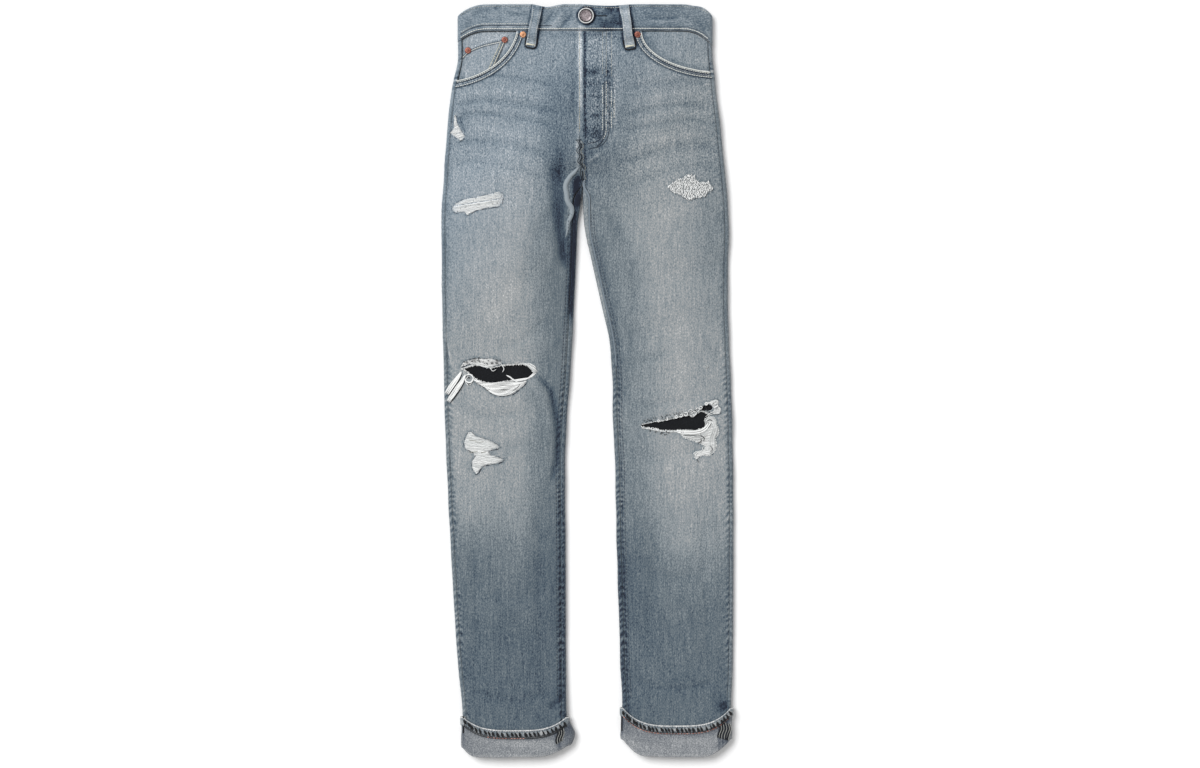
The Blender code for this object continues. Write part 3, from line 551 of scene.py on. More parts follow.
# %% The denim finishes
INDIGO = (
    (0, (26, 33, 48)), (0.12, (49, 64, 81)), (0.25, (75, 91, 104)), (0.45, (106, 118, 126)),
    (0.6, (134, 145, 152)), (0.75, (155, 160, 163)), (0.9, (185, 190, 193)), (1, (222, 225, 226)),
)
INSIDE_OUT = (
    (0, (58, 66, 78)), (0.3, (92, 98, 106)), (0.55, (128, 132, 136)), (0.8, (168, 170, 172)),
    (1, (205, 206, 206)),
)
BLUE_FROM, BLUE_TO = 0.24, 0.46                       # metres up and to the right, where the blue comes back
TINTS = (1, 0.965, 0.94), (0.985, 1.018, 1.068)       # washed-out legs, and the bluer right hip and waist
NO_TINTS = (1, 1, 1), (1, 1, 1)
SPECKLE, MOTTLE, CLOUDS = 1.2, 0.22, (24, 13, 24)
TWILL_WIDTH = 0.0009


def denim(name, colours, along=(820, 400, 820), slub=0.4, tints=TINTS):
    """Worn denim: the ramp of fade + weave speckle + slubs + mottling, tinted by place, and a bump of twill
    and yarn. along = cells of the weave per metre; the slubs are much longer along the yarn."""
    made, tree, shader = finish(name, roughness=0.92, sheen=0.15)
    weave = grain(tree, along)
    speckle = maths(tree, "MULTIPLY", point_number(tree, "speck"), SPECKLE)
    total = swayed(tree, point_number(tree, "fade"), weave, speckle)
    total = swayed(tree, total, grain(tree, tuple(a * (0.62 if a > 600 else 0.07) for a in along)), slub)
    total = swayed(tree, total, grain(tree, CLOUDS, 3), MOTTLE)
    place = node(tree, "ShaderNodeTexCoord", {}).outputs["Object"]
    up_right = node(tree, "ShaderNodeVectorMath", {0: place, 1: (-1, 1, 0)}, operation="DOT_PRODUCT")
    limits = {"Value": up_right.outputs["Value"], "From Min": BLUE_FROM, "From Max": BLUE_TO}
    blue = node(tree, "ShaderNodeMapRange", limits).outputs["Result"]
    tint = node(tree, "ShaderNodeMix", {0: blue, 4: tints[0], 5: tints[1]}, data_type="VECTOR").outputs[1]
    tinted = {0: ramp(tree, total, colours), 1: tint}
    stripes = {"Vector": place, "Scale": 0.314 / TWILL_WIDTH, "Distortion": 1.2, "Detail": 1}
    twill = node(tree, "ShaderNodeTexWave", stripes, bands_direction="DIAGONAL").outputs["Fac"]
    height = maths(tree, "MULTIPLY_ADD", weave, 1.6, maths(tree, "MULTIPLY", twill, 0.5))
    feed(tree, shader, {
        "Base Color": node(tree, "ShaderNodeVectorMath", tinted, operation="MULTIPLY").outputs["Vector"],
        "Normal": raised(tree, height, 0.6, 0.0004),
    })
    return made


front_denim = denim("front_denim", INDIGO)
back_denim = denim("back_denim", INDIGO)
waist_denim = denim("waistband_denim", INDIGO, (400, 820, 820), 0.3)
inside_denim = denim("inside_denim", INSIDE_OUT, (760, 560, 760), 0.2, NO_TINTS)
FINISHES = {               # each slot's outer and inner finish
    "front_denim": (front_denim, inside_denim), "back_denim": (back_denim, inside_denim),
    "waistband_denim": (waist_denim, inside_denim), "inside_denim": (inside_denim, back_denim),
}
print("denim finishes:", [m.name for m in bpy.data.materials if "denim" in m.name])

# %% [markdown]
# ## Where the denim is worn, and where shade is painted
# The blue stays at the fly and low on the shins, and is nearly gone on the thighs and below the knees. The
# inner thigh is darker, partly from blue kept in its folds and partly from painted shade in its troughs. A
# fade down each leg comes from one table, the change across the leg from two soft steps, and the rest from
# the creases, which are drawn here for the front and the back.

# %% The pocket mouths and the belt loops' shade
MOUTHS = {
    "right": {"centre": (-215, 510), "across": 112, "down": 83},
    "left": {"centre": (186, 500), "across": 111, "down": 58},
}
LOOP_WIDTH, LOOP_WALL, LOOP_RISE = 14, 1.8, 5.4
FRONT_LOOPS = {"right": ((-74, 535.5), (-84, 477.5)), "left": ((49.5, 536), (58.5, 475.5))}     # top and foot


def half_of(line):
    """The half that a line belongs to, by its first point."""
    return "right" if line[0][0] < 0 else "left"


def loop_axes(half):
    """A front belt loop's top and foot, and the directions along it and to its right."""
    top, foot = np.array(FRONT_LOOPS[half])
    along = (top - foot) / np.linalg.norm(top - foot)
    return top, foot, along, np.array([along[1], -along[0]])


def round_foot(foot, aside, low, share):
    """The five corners of a line round a loop's foot."""
    return [foot - aside, low - aside * share, low, low + aside * share, foot + aside]


def loop_painted_shadow(x, y):
    """1 along a belt loop's painted shadow, down both its sides and round its foot (weaker on its left), 0
    elsewhere.
    """
    shade = 0 * x
    for half in SIDES:
        top, foot, along, aside = loop_axes(half)
        aside = aside * (LOOP_WIDTH / 2 + 1.3)
        line = [top - aside, *round_foot(foot, aside, foot - along * 2.6, 0.7), top + aside]
        away, share, _ = near_line(np.array(line), x, y)
        shade = np.maximum(shade, bump(away, 1.7) * np.where(share > 0.5, 1, 0.75))
    return shade


def mouth_rim(half, offset=0, steps=49):
    """The pocket mouth's curve, a quarter ellipse from the waist seam round to the outer seam."""
    mouth, a = MOUTHS[half], np.linspace(0, math.pi / 2, steps)
    across, down = mouth["across"] + offset, mouth["down"] + offset
    x = mouth["centre"][0] + SIGN[half] * across * np.cos(a)
    return together(x, mouth["centre"][1] - down * np.sin(a))


# %% Fades and creases of the front
FADE_COLUMNS = ("y", "right", "left")
FADE_DOWN = np.array((
    (-540, 0.3, 0.3), (-430, 0.29, 0.31), (-380, 0.31, 0.36), (-320, 0.36, 0.41), (-280, 0.39, 0.45),
    (-255, 0.42, 0.51), (-230, 0.48, 0.59), (-200, 0.55, 0.62), (-165, 0.63, 0.66), (-120, 0.67, 0.68),
    (0, 0.67, 0.69), (100, 0.7, 0.71), (200, 0.69, 0.69), (280, 0.68, 0.65), (330, 0.63, 0.61),
    (380, 0.6, 0.59), (430, 0.59, 0.57), (480, 0.54, 0.52), (540, 0.5, 0.48),
), float)

# points, half width, height (below 0 is a trough), fade (below 0 is darker)
FRONT_CREASES = (
    # inner right thigh: a smooth trough and the strip beside the gap, both darkened with painted shade, and
    # the
    # rolled ridge between them, paler: worn, and partly a painted highlight
    (((-54, 322), (-51.5, 290), (-49, 258), (-45.5, 222), (-40.5, 188), (-34.5, 150)), 6.6, -1.5, -0.22),
    (((-45, 316), (-41, 288), (-38.5, 258), (-38, 222), (-35, 188), (-31, 152)), 7, -1.6, -0.22),
    (((-18, 268), (-21, 235), (-23, 190), (-25, 130), (-27, 70)), 5.4, -0.8, -0.52),
    (((-19, 302), (-27, 292), (-33, 274), (-32.5, 260), (-27, 246), (-26.5, 236), (-30, 220), (-34, 206)),
     3.4, 1, 0.2),
    # crotch and the left leg's inner edge: pale ridges, and troughs darkened with painted shade, darkest in
    # the deep fold of the crotch
    (((-10, 304), (-7, 280), (-3, 208), (15, 130), (31, 66)), 2.4, 0.9, 0.24),
    (((-13, 296), (-18, 278), (-16, 258), (-12, 246)), 6, -1.4, -0.72),
    (((6, 226), (16, 165), (31, 100), (41, 30), (46, -60)), 8, -0.8, -0.12),
    (((-17, 346), (-17, 326), (-16, 300)), 2.4, 0.5, 0.24),
    (((-8, 350), (-6, 322), (-4, 292), (-6, 262)), 2, -0.9, -0.3),
    (((16, 325), (6, 318), (-3, 311)), 1.8, 0.6, 0.3),
    (((-58, -470), (-46, -458), (-38, -444)), 4, -1.2, -0.16),
    # painted shadow on the right side of the worn hip slash
    (((-186, 379), (-182, 366), (-175, 354)), 3, -0.6, -0.22),
    (((-186, 381), (-160, 383), (-130, 381)), 2.4, -0.4, -0.12),
    (((-36, 330), (-42, 310), (-44, 290)), 7, -0.8, -0.14),
    # the fly: its folded edge, worn pale, and the groove beside it, darkened with painted shadow
    (((-13.5, 520), (-13.2, 470), (-12.6, 420), (-13, 374)), 3.1, 0.9, 0.42),
    (((-14.6, 384), (-15.4, 362), (-16.6, 330)), 2, 0.6, 0.22),
    (((-6.6, 520), (-6.2, 440), (-6.2, 380), (-5, 330)), 2, -0.9, -0.56),
    (((-20.5, 500), (-21.5, 440), (-22, 360)), 3.6, -0.4, -0.1),
    (((38, 470), (38, 400), (36, 352), (24, 326)), 2.2, -0.4, 0.1),
    # the crease beside the right knee, darkened with painted shade, and folds round both knees
    (((-88, 14), (-74, 6), (-57, -12), (-50, -34), (-46, -60), (-45, -90), (-48, -122), (-58, -156)),
     4.2, -2.2, -0.26),
    (((-92, 6), (-68, -16), (-61, -44), (-58, -84), (-62, -130)), 7, 1, 0.07),
    (((-60, 96), (-78, 70), (-104, 54), (-136, 46)), 7, -0.9, -0.05),
    (((-196, -24), (-170, -44), (-136, -52), (-96, -44)), 7, -0.9, -0.05),
    (((-200, -70), (-160, -92), (-120, -98), (-76, -84)), 8, -0.8, -0.04),
    (((52, -28), (84, -36), (120, -30), (162, -26)), 7, -0.9, -0.05),
    (((58, -96), (94, -110), (140, -104), (190, -84)), 8, -0.9, -0.04),
    (((46, 20), (80, 30), (120, 44)), 8, -0.8, -0.05),
    # the outer seam's ridge, pulled in towards the right rip, and the blue strip outside it
    (((-206.5, 94), (-204.5, 66), (-201.2, 44), (-197.6, 28), (-191, 18)), 1.3, 0.5, 0.26),
    (((-206, 66), (-204.4, 40), (-201.4, 18), (-200, -2)), 3, -0.3, -0.15),
    # whiskers, from the outer seam across the hip towards the fly
    (((-198, 426), (-150, 436), (-104, 432), (-44, 420)), 4, -0.6, -0.1),
    (((-202, 404), (-150, 414), (-96, 408), (-40, 396)), 3.6, 0.4, 0.06),
    (((-203, 390), (-150, 400), (-96, 394), (-34, 380)), 4.2, -0.7, -0.11),
    (((-205, 368), (-156, 380), (-100, 374), (-34, 360)), 4.2, -0.6, -0.09),
    (((-208, 350), (-160, 360), (-104, 352), (-46, 336)), 4.4, 0.4, 0.05),
    (((-208, 334), (-160, 342), (-104, 334), (-46, 316)), 5, -0.6, -0.1),
    (((-208, 306), (-160, 312), (-104, 302), (-50, 282)), 6, -0.6, -0.06),
    (((182, 424), (140, 428), (96, 424), (44, 416)), 4.2, -0.6, -0.08),
    (((186, 404), (140, 410), (92, 406), (44, 398)), 3.8, 0.4, 0.05),
    (((186, 388), (140, 394), (92, 388), (44, 378)), 4.2, -0.7, -0.09),
    (((190, 362), (146, 372), (96, 366), (40, 352)), 4.4, -0.6, -0.09),
    (((192, 344), (148, 352), (100, 344), (38, 326)), 4.6, 0.4, 0.05),
    (((192, 330), (148, 336), (100, 328), (38, 306)), 5, -0.6, -0.09),
    (((194, 300), (150, 306), (100, 294), (40, 272)), 6, -0.6, -0.05),
    # pulls that run down from the crotch, and long soft folds down the legs
    (((-30, 258), (-66, 226), (-84, 180), (-92, 120)), 9, -1, -0.05),
    (((18, 250), (42, 214), (60, 160), (70, 100)), 9, -1, -0.06),
    (((-78, -170), (-70, -240), (-72, -320), (-66, -400)), 8, -0.9, -0.04),
    (((-160, -190), (-168, -260), (-160, -340), (-164, -420)), 9, -0.8, -0.03),
    (((86, -180), (92, -260), (86, -340), (92, -410)), 9, -0.9, -0.04),
    (((170, -170), (162, -250), (170, -330), (166, -410)), 8, -0.8, -0.03),
    (((-176, -436), (-140, -452), (-96, -456), (-50, -444)), 5, -1.2, -0.05),
    (((56, -424), (96, -438), (140, -440), (188, -428)), 5, -1.2, -0.05),
    (((-150, -300), (-112, -312), (-70, -304)), 7, -0.7, -0.03),
    (((80, -270), (120, -282), (166, -276)), 7, -0.7, -0.03),
)
FRONT_WEAR_AND_SHADE = (             # centre x and y, half width, half length, fade
    # the first two darken both outer thighs to offset how the light brightens them: painted shade
    (-188, 190, 34, 150, -0.1), (174, 190, 34, 170, -0.13), (-122, -90, 44, 60, 0.03),
    (128, -110, 40, 70, 0.03),
    (-44, 312, 20, 34, -0.1), (40, 320, 30, 40, -0.05), (192, -466, 8, 8, -0.3),
    # the fly's field, pale at the top and patchy below
    (14, 430, 30, 90, -0.03), (15, 476, 16, 15, 0.06), (4, 441, 11, 6, -0.38), (5, 424, 10, 6, -0.16),
    (8, 406, 8, 1.8, -0.3),
    (7, 394, 8, 7, 0.02), (9, 378, 8, 3, -0.34), (8, 353, 13, 10, -0.34), (27, 437, 5, 17, -0.34),
    (20, 375, 18, 50, -0.05), (2, 322, 8, 14, -0.12), (-4, 494, 40, 4, -0.18),
    # painted shadow round the feet and down the sides of the belt loops
    (-86, 481, 11, 5, -0.14), (60, 479, 11, 5, -0.14), (-72, 491, 3.5, 12, -0.1), (48, 489, 3.5, 12, -0.1),
)
# places worn through to the white yarn, as closed outlines
BARE = {
    "hip_slash": (
        (-192.3, 378.6), (-193.5, 369.2), (-193, 361.4), (-198.8, 353.7), (-194.1, 350.2), (-189.3, 346.6),
        (-183.4, 343.1), (-178, 349), (-183.4, 357.3), (-189.3, 368), (-190.8, 377),
    ),
    "thigh_patch": (
        (-195.8, 245.8), (-190.5, 252.9), (-177.5, 258.9), (-153.7, 263), (-130, 268.4), (-122.9, 264.8),
        (-124.1, 257.7), (-127.6, 249.4), (-153.7, 244.6), (-163.2, 242.3), (-173.9, 236.3), (-178.5, 241),
        (-191.7, 239.9),
    ),
    "thigh_darn": (
        (112.1, 276.4), (116.9, 281.5), (124.6, 285.3), (133.5, 289.1), (139.9, 293.6), (150.1, 293),
        (152.7, 285.3), (161, 282.1), (170.6, 284.7), (176.9, 274.4), (169.3, 268.1), (163.5, 261.7),
        (152.7, 261), (142.5, 257.2), (129.7, 264.2), (118.2, 269.3),
    ),
    "shin_tear": (
        (-173.2, -74.9), (-168.5, -73.8), (-162.4, -79.7), (-154.2, -82.1), (-140, -86.8), (-128.1, -94.5),
        (-132.8, -97.5), (-143.6, -100.4), (-141, -107), (-130.6, -109.4), (-122.3, -113.5),
        (-131.7, -118.3),
        (-144.7, -120), (-153, -123), (-161.3, -133.7), (-167.3, -124.7), (-167.3, -115.3), (-162.4, -107),
        (-169.6, -100.4), (-176.7, -97.5), (-179.2, -87.9),
    ),
    "knee_lip": (
        (-184, 19), (-179, 26.5), (-163.4, 31.2), (-149.2, 30.7), (-134.8, 30), (-125, 24.8),
        (-130.6, 22.2), (-142, 18.5), (-150.6, 19), (-162, 22.4), (-170.6, 24),
    ),
    "knee_flap": (
        (-163, -2.5), (-150, -3), (-135, -2.4), (-118, -0.4), (-104, -2), (-90, -0.5), (-93, -6),
        (-100, -12),
        (-110, -19.5), (-122, -21.4), (-134, -21), (-143, -16), (-150, -9.5), (-158, -5.5),
    ),
    "left_knee_flap": (
        (125.8, -71.6), (140, -71.8), (155.7, -72), (165.2, -67.9), (166.8, -60.8), (165.4, -56.1),
        (171.5, -52.9),
        (179.3, -54.5), (180.9, -62.4), (184, -68.6), (184, -76.5), (179.3, -82.8), (180.9, -90.7),
        (179.3, -99.3),
        (171.5, -106.4), (160.5, -106.4), (152.6, -111.1), (151, -103.3), (160.5, -101.7), (166.8, -95.4),
        (162, -90.7), (155.7, -87.5), (143.2, -83.6), (133.7, -79.6),
    ),
    "left_knee_top": (
        (165, -32.6), (173, -30.6), (180, -27.6), (184.4, -29.4), (184, -36), (188, -41), (185.4, -47),
        (177, -47.4), (178.4, -40), (173, -33.6),
    ),
}
WHITE = {"thigh_darn": 0.68, "knee_flap": 0.97, "left_knee_flap": 0.97}     # how white a bare place is
OTHER_WHITE = 0.84
SEAM_DARK = {"right": 0.07, "left": 0.09}       # how much darker the dye is beside the outer seam
INSEAM_MARKS = {"right": 0.42, "left": 0.3}    # and in the marks along the inner seam of the shin
INNER_THIGH = {"right": (0.55, 0.32, 0.42), "left": (0.42, 0.5, 0.45)}      # where it starts, reach, fade


# %% The front's fade, speckle and height
def across_leg(half, x, y):
    """0 at the outer edge of a half and 1 at its inner edge."""
    outer, inner = read_off(f"{half}_out", y), read_off(f"{half}_in", y)
    return (x - outer) / (inner - outer)


def fly_field(x, y):
    """1 on the fly's stitched field and 0 off it."""
    low = 332 + 26 * (1 - smoothstep((38 - x) / 30))
    on_top = smoothstep((y - low) / 8) * smoothstep((502 - y) / 8)
    return smoothstep((x + 9) / 3) * smoothstep((40 - x) / 4) * on_top


def fade_of_front(half, x, y):
    """The front's fade: the dye's fade down the leg, darker inside the thigh, with creases and wear, and
    painted shade in troughs, round the belt loops and round worn places.
    """
    c = across_leg(half, x, y)
    base = np.interp(y, FADE_DOWN[:, 0], FADE_DOWN[:, FADE_COLUMNS.index(half)])
    low = smoothstep((-150 - y) / 120)
    start, reach, thigh = INNER_THIGH[half]
    inner = thigh * (1 - low) + 0.3 * low
    to_inner = smoothstep((c - start) / reach) * smoothstep((470 - y) / 60)
    to_outer = 1 - smoothstep((c - 0.015) / 0.07)
    fade = base + (np.minimum(inner, base) - base) * to_inner
    fade = fade + (0.54 - fade) * to_outer * smoothstep((430 - y) / 60)
    fade = fade + creased(FRONT_CREASES, x, y)[1] + worn(FRONT_WEAR_AND_SHADE, x, y)
    fly_rows = np.cos(2 * math.pi * (x - 18.7) / 4.4) * smoothstep((x - 15) / 4) * smoothstep((432 - y) / 14)
    fade = fade + 0.18 * fly_field(x, y) * fly_rows
    # round the pocket mouth: a pale rim, worn and partly a painted highlight, and two darker bands of painted
    # shade in the grooves beside the rows of stitches
    rim, _, _ = near_line(mouth_rim(half), x, y)
    fade = fade + 0.36 * bump(rim - 0.2, 1.4) - 0.42 * bump(rim - 3.4, 1.4) - 0.32 * bump(rim - 10.4, 1.4)
    # the belt loops' painted shadow
    fade = fade - 0.55 * loop_painted_shadow(x, y)
    for key, outline in BARE.items():
        if half_of(outline) == half:
            away, _, _ = near_line(closed(outline), x, y)
            # a ring of painted shade round each worn place, stronger round those low on the legs
            shade_ring = 0.15 if outline[0][1] < 100 else 0.06
            white = WHITE.get(key, OTHER_WHITE)
            fade = np.where(inside(np.array(outline), x, y), white, fade - shade_ring * bump(away - 1.6, 1.8))
    return fade


def speck_of_front(half, x, y):
    """How speckled the front is: least down the legs, more on the hips, most on the fly and pocket hems."""
    rim, _, _ = near_line(mouth_rim(half), x, y)
    speck = 0.8 + 0.34 * smoothstep((y - 210) / 110) + 0.7 * fly_field(x, y) + 0.6 * bump(rim - 5, 6)
    return speck - 0.3 * bump(x + 40, 14) * smoothstep((300 - y) / 30)


def front_height(x, y):
    """How far the front's cloth stands out or in at (x, y): creases and a slow swell, still at the waist."""
    calm = smoothstep((488 - y) / 40)
    return creased(FRONT_CREASES, x, y)[0] * calm + 0.55 * unevenness(x, y) * calm

# %% Fades and creases of the back
# a crease's darker fade on the back paints the shade in its hollow
BACK_CREASES = (
    (((-196, 20), (-150, -6), (-104, -2), (-56, 16)), 6, 1.6, -0.12),
    (((-200, -24), (-150, -44), (-100, -40), (-52, -20)), 6, 1.5, -0.1),
    (((-190, -58), (-156, -86), (-116, -92), (-70, -84)), 7, 1.3, -0.09),
    (((-120, -8), (-112, -26), (-98, -38)), 5, 0.9, -0.08),
    (((196, 34), (164, 6), (118, -10), (74, -6)), 6, 1.6, -0.12),
    (((194, -16), (150, -30), (104, -52), (58, -58)), 6, 1.5, -0.1),
    (((188, -84), (150, -78), (104, -96), (64, -122)), 7, 1.3, -0.08),
    (((-190, 252), (-140, 228), (-90, 226), (-34, 240)), 8, 1.6, -0.1),
    (((190, 222), (150, 234), (96, 216), (34, 236)), 8, 1.6, -0.08),
    (((-184, 196), (-130, 172), (-70, 180)), 9, 1.3, -0.07),
    (((168, 158), (120, 182), (62, 172), (24, 148)), 9, 1.3, -0.07),
    (((-40, 262), (-60, 222), (-66, 176), (-60, 120)), 7, 1, -0.09),
    (((14, 258), (36, 214), (50, 160)), 8, 1, -0.1),
    (((-150, -150), (-132, -240), (-140, -330)), 10, 1.4, -0.06),
    (((150, -130), (122, -230), (138, -320)), 10, 1.4, -0.06),
    (((-80, -180), (-86, -280), (-78, -380)), 9, 1.2, -0.04),
    (((84, -210), (96, -280), (80, -360)), 9, 1.2, -0.05),
    (((-184, -420), (-120, -434), (-46, -422)), 7, 1.2, -0.07),
    (((60, -398), (116, -424), (188, -426)), 7, 1.2, -0.07),
    (((-14, 430), (-34, 446), (-64, 452)), 5, 0.8, -0.07),
    (((-14, 404), (16, 418), (40, 416)), 5, 0.8, -0.06),
)
BACK_WEAR = (
    (-110, 345, 66, 66, 0.12), (88, 345, 66, 66, 0.12), (-106, 244, 60, 40, 0.06), (90, 240, 60, 40, 0.06),
    (-116, -30, 60, 80, -0.05), (122, -34, 60, 80, -0.05), (-108, -505, 60, 12, 0.18),
    (124, -498, 60, 12, 0.18),
    (-10, 400, 16, 80, -0.08), (-12, 330, 20, 40, -0.08),
)
BACK_DOWN = (              # y, fade
    (-540, 0.36), (-400, 0.38), (-250, 0.46), (-60, 0.5), (120, 0.58), (260, 0.62), (380, 0.6), (470, 0.5),
    (540, 0.46),
)


def fade_of_back(half, x, y):
    """The back's fade: the dye palest on the seat and darker inside the legs, and the creases' painted shade
    behind the knees.
    """
    base = np.interp(y, *zip(*BACK_DOWN)) - 0.16 * smoothstep((across_leg(half, x, y) - 0.6) / 0.35)
    return base + creased(BACK_CREASES, x, y)[1] + worn(BACK_WEAR, x, y)


# %% What a seam does to the cloth beside it
def along_seam(half, x, y, seam_away, reach):
    """Height and fade beside a seam: puckers, ropes below the knee as wide as reach, and dark marks."""
    wandering = y + 0.8 * seam_away + 2.5 * np.sin(y / 9) + 2.2 * np.sin(y / 23 + 1)
    wave = np.sin(2 * math.pi * wandering / 9.5)
    pucker = bump(seam_away - 5, 5) * wave
    ropy = smoothstep((70 - y) / 120) * bump(seam_away - reach + 0.6, reach)
    height = 0.28 * pucker + 0.12 * ropy * wave - 0.4 * bump(seam_away, 1.6)
    outer_side = 1 - smoothstep((across_leg(half, x, y) - 0.4) / 0.2)
    # along the inner seam the pucker's hollows keep short marks of the darkest dye
    hollow = smoothstep((np.sin(2 * math.pi * (y + 3 * np.sin(y / 13)) / 8) - 0.1) / 0.5)
    marks = hollow * (0.7 + 0.3 * np.sin(y / 17)) * bump(seam_away - 2, 1.7) * smoothstep((-90 - y) / 110)
    ropes = ropy * (0.26 * (0.6 + 0.4 * np.sin(y / 27 + 2)) * wave - 0.1)
    fade = 0.05 * pucker + ropes - SEAM_DARK[half] * bump(seam_away, 1.8) * outer_side
    return height, fade, INSEAM_MARKS[half] * marks * (1 - outer_side)


def dressed(half, grid, normals, seam_away, reach):
    """Creases a grid and gives its fade; upward cloth takes the front's creases and downward the back's."""
    x, y = grid[..., 0], grid[..., 1]
    up = smoothstep((normals[..., 2] + 0.35) / 0.7)
    below = (1 - up) * np.maximum(creased(BACK_CREASES, x, y)[0], 0)
    height, fade, marks = along_seam(half, x, y, seam_away, reach)
    fade = fade + up * (fade_of_front(half, x, y) - marks) + (1 - up) * fade_of_back(half, x, y)
    moved = grid + normals * (up * front_height(x, y) + up * height)[..., None]
    moved[..., 2] += below
    return moved, fade


print("creases:", len(FRONT_CREASES), "on the front,", len(BACK_CREASES), "on the back")

# %% [markdown]
# ## Fronts
# A front is cut as one panel with a curved corner missing for the pocket. It is a grid over the form from
# the outer seam to the inner seam. Where a rip or the pocket's mouth opens it, squares are taken out and
# the corners left along the opening slide onto its outline, so the edge is clean at any grid size.

# %% Pocket mouths and rips
RIPS = {
    "right": (
        (-183, 17), (-168, 22), (-158, 23), (-148, 20), (-138, 19), (-127, 22), (-113, 23), (-92, 24),
        (-82, 18),
        (-77, 12), (-80, 6), (-92, 0.5), (-110, -1), (-124, -2.4), (-136, -5), (-151, -3), (-162, 1),
        (-171, 8.6),
    ),
    "left": (
        (74.6, -63.4), (88, -60.4), (101, -57.6), (121, -53.4), (138, -49.4), (148, -49), (158, -44),
        (163, -43.6),
        (172, -49), (169, -57), (172, -65), (156, -71), (130, -71.6), (110, -71.6), (97, -70), (86, -67.6),
        (75.4, -66.4),
    ),
}
SMALL_TEAR = ((158, -40.6), (164, -36), (172, -34.6), (176.5, -37.6), (173, -42.4), (163, -42.6))
ABOVE_WAIST, BESIDE_LEG = 540, 25         # a mouth's outline closes outside the panel
FRONT_COLUMNS, BACK_COLUMNS = 100, 66
FAR = 99                                  # so far from a seam that it shows nothing of it
FRONT_ROPE, BACK_ROPE = 2.6, 5.2
ROW_PITCH = (              # height, distance between rows: fine at the fly and pockets, coarse down the leg
    (-84, 3.2), (-74, 1.9), (26, 1.9), (36, 3.2), (190, 3.2), (215, 2), (318, 2), (330, 1.4),
)


def mouth_outline(half):
    """The whole missing corner, past the waist seam and the outer seam."""
    rim, out = mouth_rim(half), MOUTHS[half]["centre"][0] - SIGN[half] * BESIDE_LEG
    return np.vstack([[(rim[0, 0], ABOVE_WAIST)], rim, [(out, rim[-1, 1] - 3), (out, ABOVE_WAIST)]])


def ragged(outline, amount=0.9):
    """A closed outline drawn smooth and then roughened, as torn cloth ends."""
    line = smooth_line(closed(outline), 8)[:-1]
    i = np.arange(len(line))
    return line + amount * together(np.sin(i * 2.1), np.cos(i * 1.7))


def front_rows(low, high):
    """Heights of the rows, as far apart as ROW_PITCH says."""
    y = np.linspace(low, high, 4000)
    rows_per_mm = 1 / np.interp(y, *zip(*ROW_PITCH))
    count = np.concatenate([[0], np.cumsum((rows_per_mm[1:] + rows_per_mm[:-1]) / 2 * np.diff(y))])
    return np.interp(np.linspace(0, count[-1], int(count[-1])), count, y)


def front_grid(half):
    """Heights and girths, evenly spaced from the outer to the inner seam, and how far each is from a seam."""
    y = front_rows(CUFFS[half]["bottom"] + LEG_IN_CUFF, WAIST_SEAM - 0.4)[:, None]
    slack = GAP / 2 + CROTCH_SLACK * (1 - smoothstep((CROTCH_BACK - y) / CROTCH_SETTLE))
    end = inner_seam(half, y) - slack * smoothstep((CROTCH_FRONT + 6 - y) / 8)
    if half == "right":
        end = end + FLY_UNDERLAP * smoothstep((y - FLY_END - 3) / 20)
    start = OUTSEAM_INSET + 0.1
    g = start + (end - start) * np.linspace(0, 1, FRONT_COLUMNS)[None, :]
    return y + 0 * g, g, np.minimum(g - start, np.where(y < CROTCH_FRONT, end - g, FAR))


def sewn(half, y, g, seam_away, front, facing):
    """A panel's points, normals and fade from its heights and girths; facing turns its normals outwards."""
    grid = on_form(half, y, g, front, front and half == "left")
    rope = FRONT_ROPE if front else BACK_ROPE
    grid, fade = dressed(half, grid, normals_of(grid) * facing, seam_away, rope)
    return grid, normals_of(grid) * facing, fade


# %% The fronts
for side in SIDES:
    y, g, seam_away = front_grid(side)
    grid, normals, fade = sewn(side, y, g, seam_away, 1, SIGN[side])
    points, quads = grid, quads_of(grid, flip=side == "left")
    for hole in (mouth_outline(side), ragged(RIPS[side])):
        points, quads = cut_out(points, normals, quads, hole)
    if side == "left":
        points, quads = cut_out(points, normals, quads, ragged(SMALL_TEAR, 0.4))
    speck = speck_of_front(side, grid[..., 0], grid[..., 1])
    cloth(f"front_{side}", points, quads, fade, (0.235, 1.02), [f"back_{side}_cloth"], area=0.167,
          speck=speck)

# %% [markdown]
# ## Backs and yokes
# Each back runs from the outer seam under the leg and up to the inner seam, so its two long edges show
# from the front beside the fronts. The yoke closes the seat above it on a slanting seam. The underside
# lies on the floor, so its creases only go up into the leg, as hollows.

# %% Backs and yokes
YOKE_CENTRE, YOKE_SIDE, YOKE_GAP = 441, 466, 0.25


def back_girths(half, y):
    """Girths from the outer seam, round under the leg, to the inner seam."""
    s = section(half, y)
    start = OUTSEAM_INSET - 0.1
    end = -s["under"] - np.maximum(s["top"] - inner_seam(half, y) - GAP / 2, 0)
    return start + (end - start) * np.linspace(0, 1, BACK_COLUMNS)[None, :]


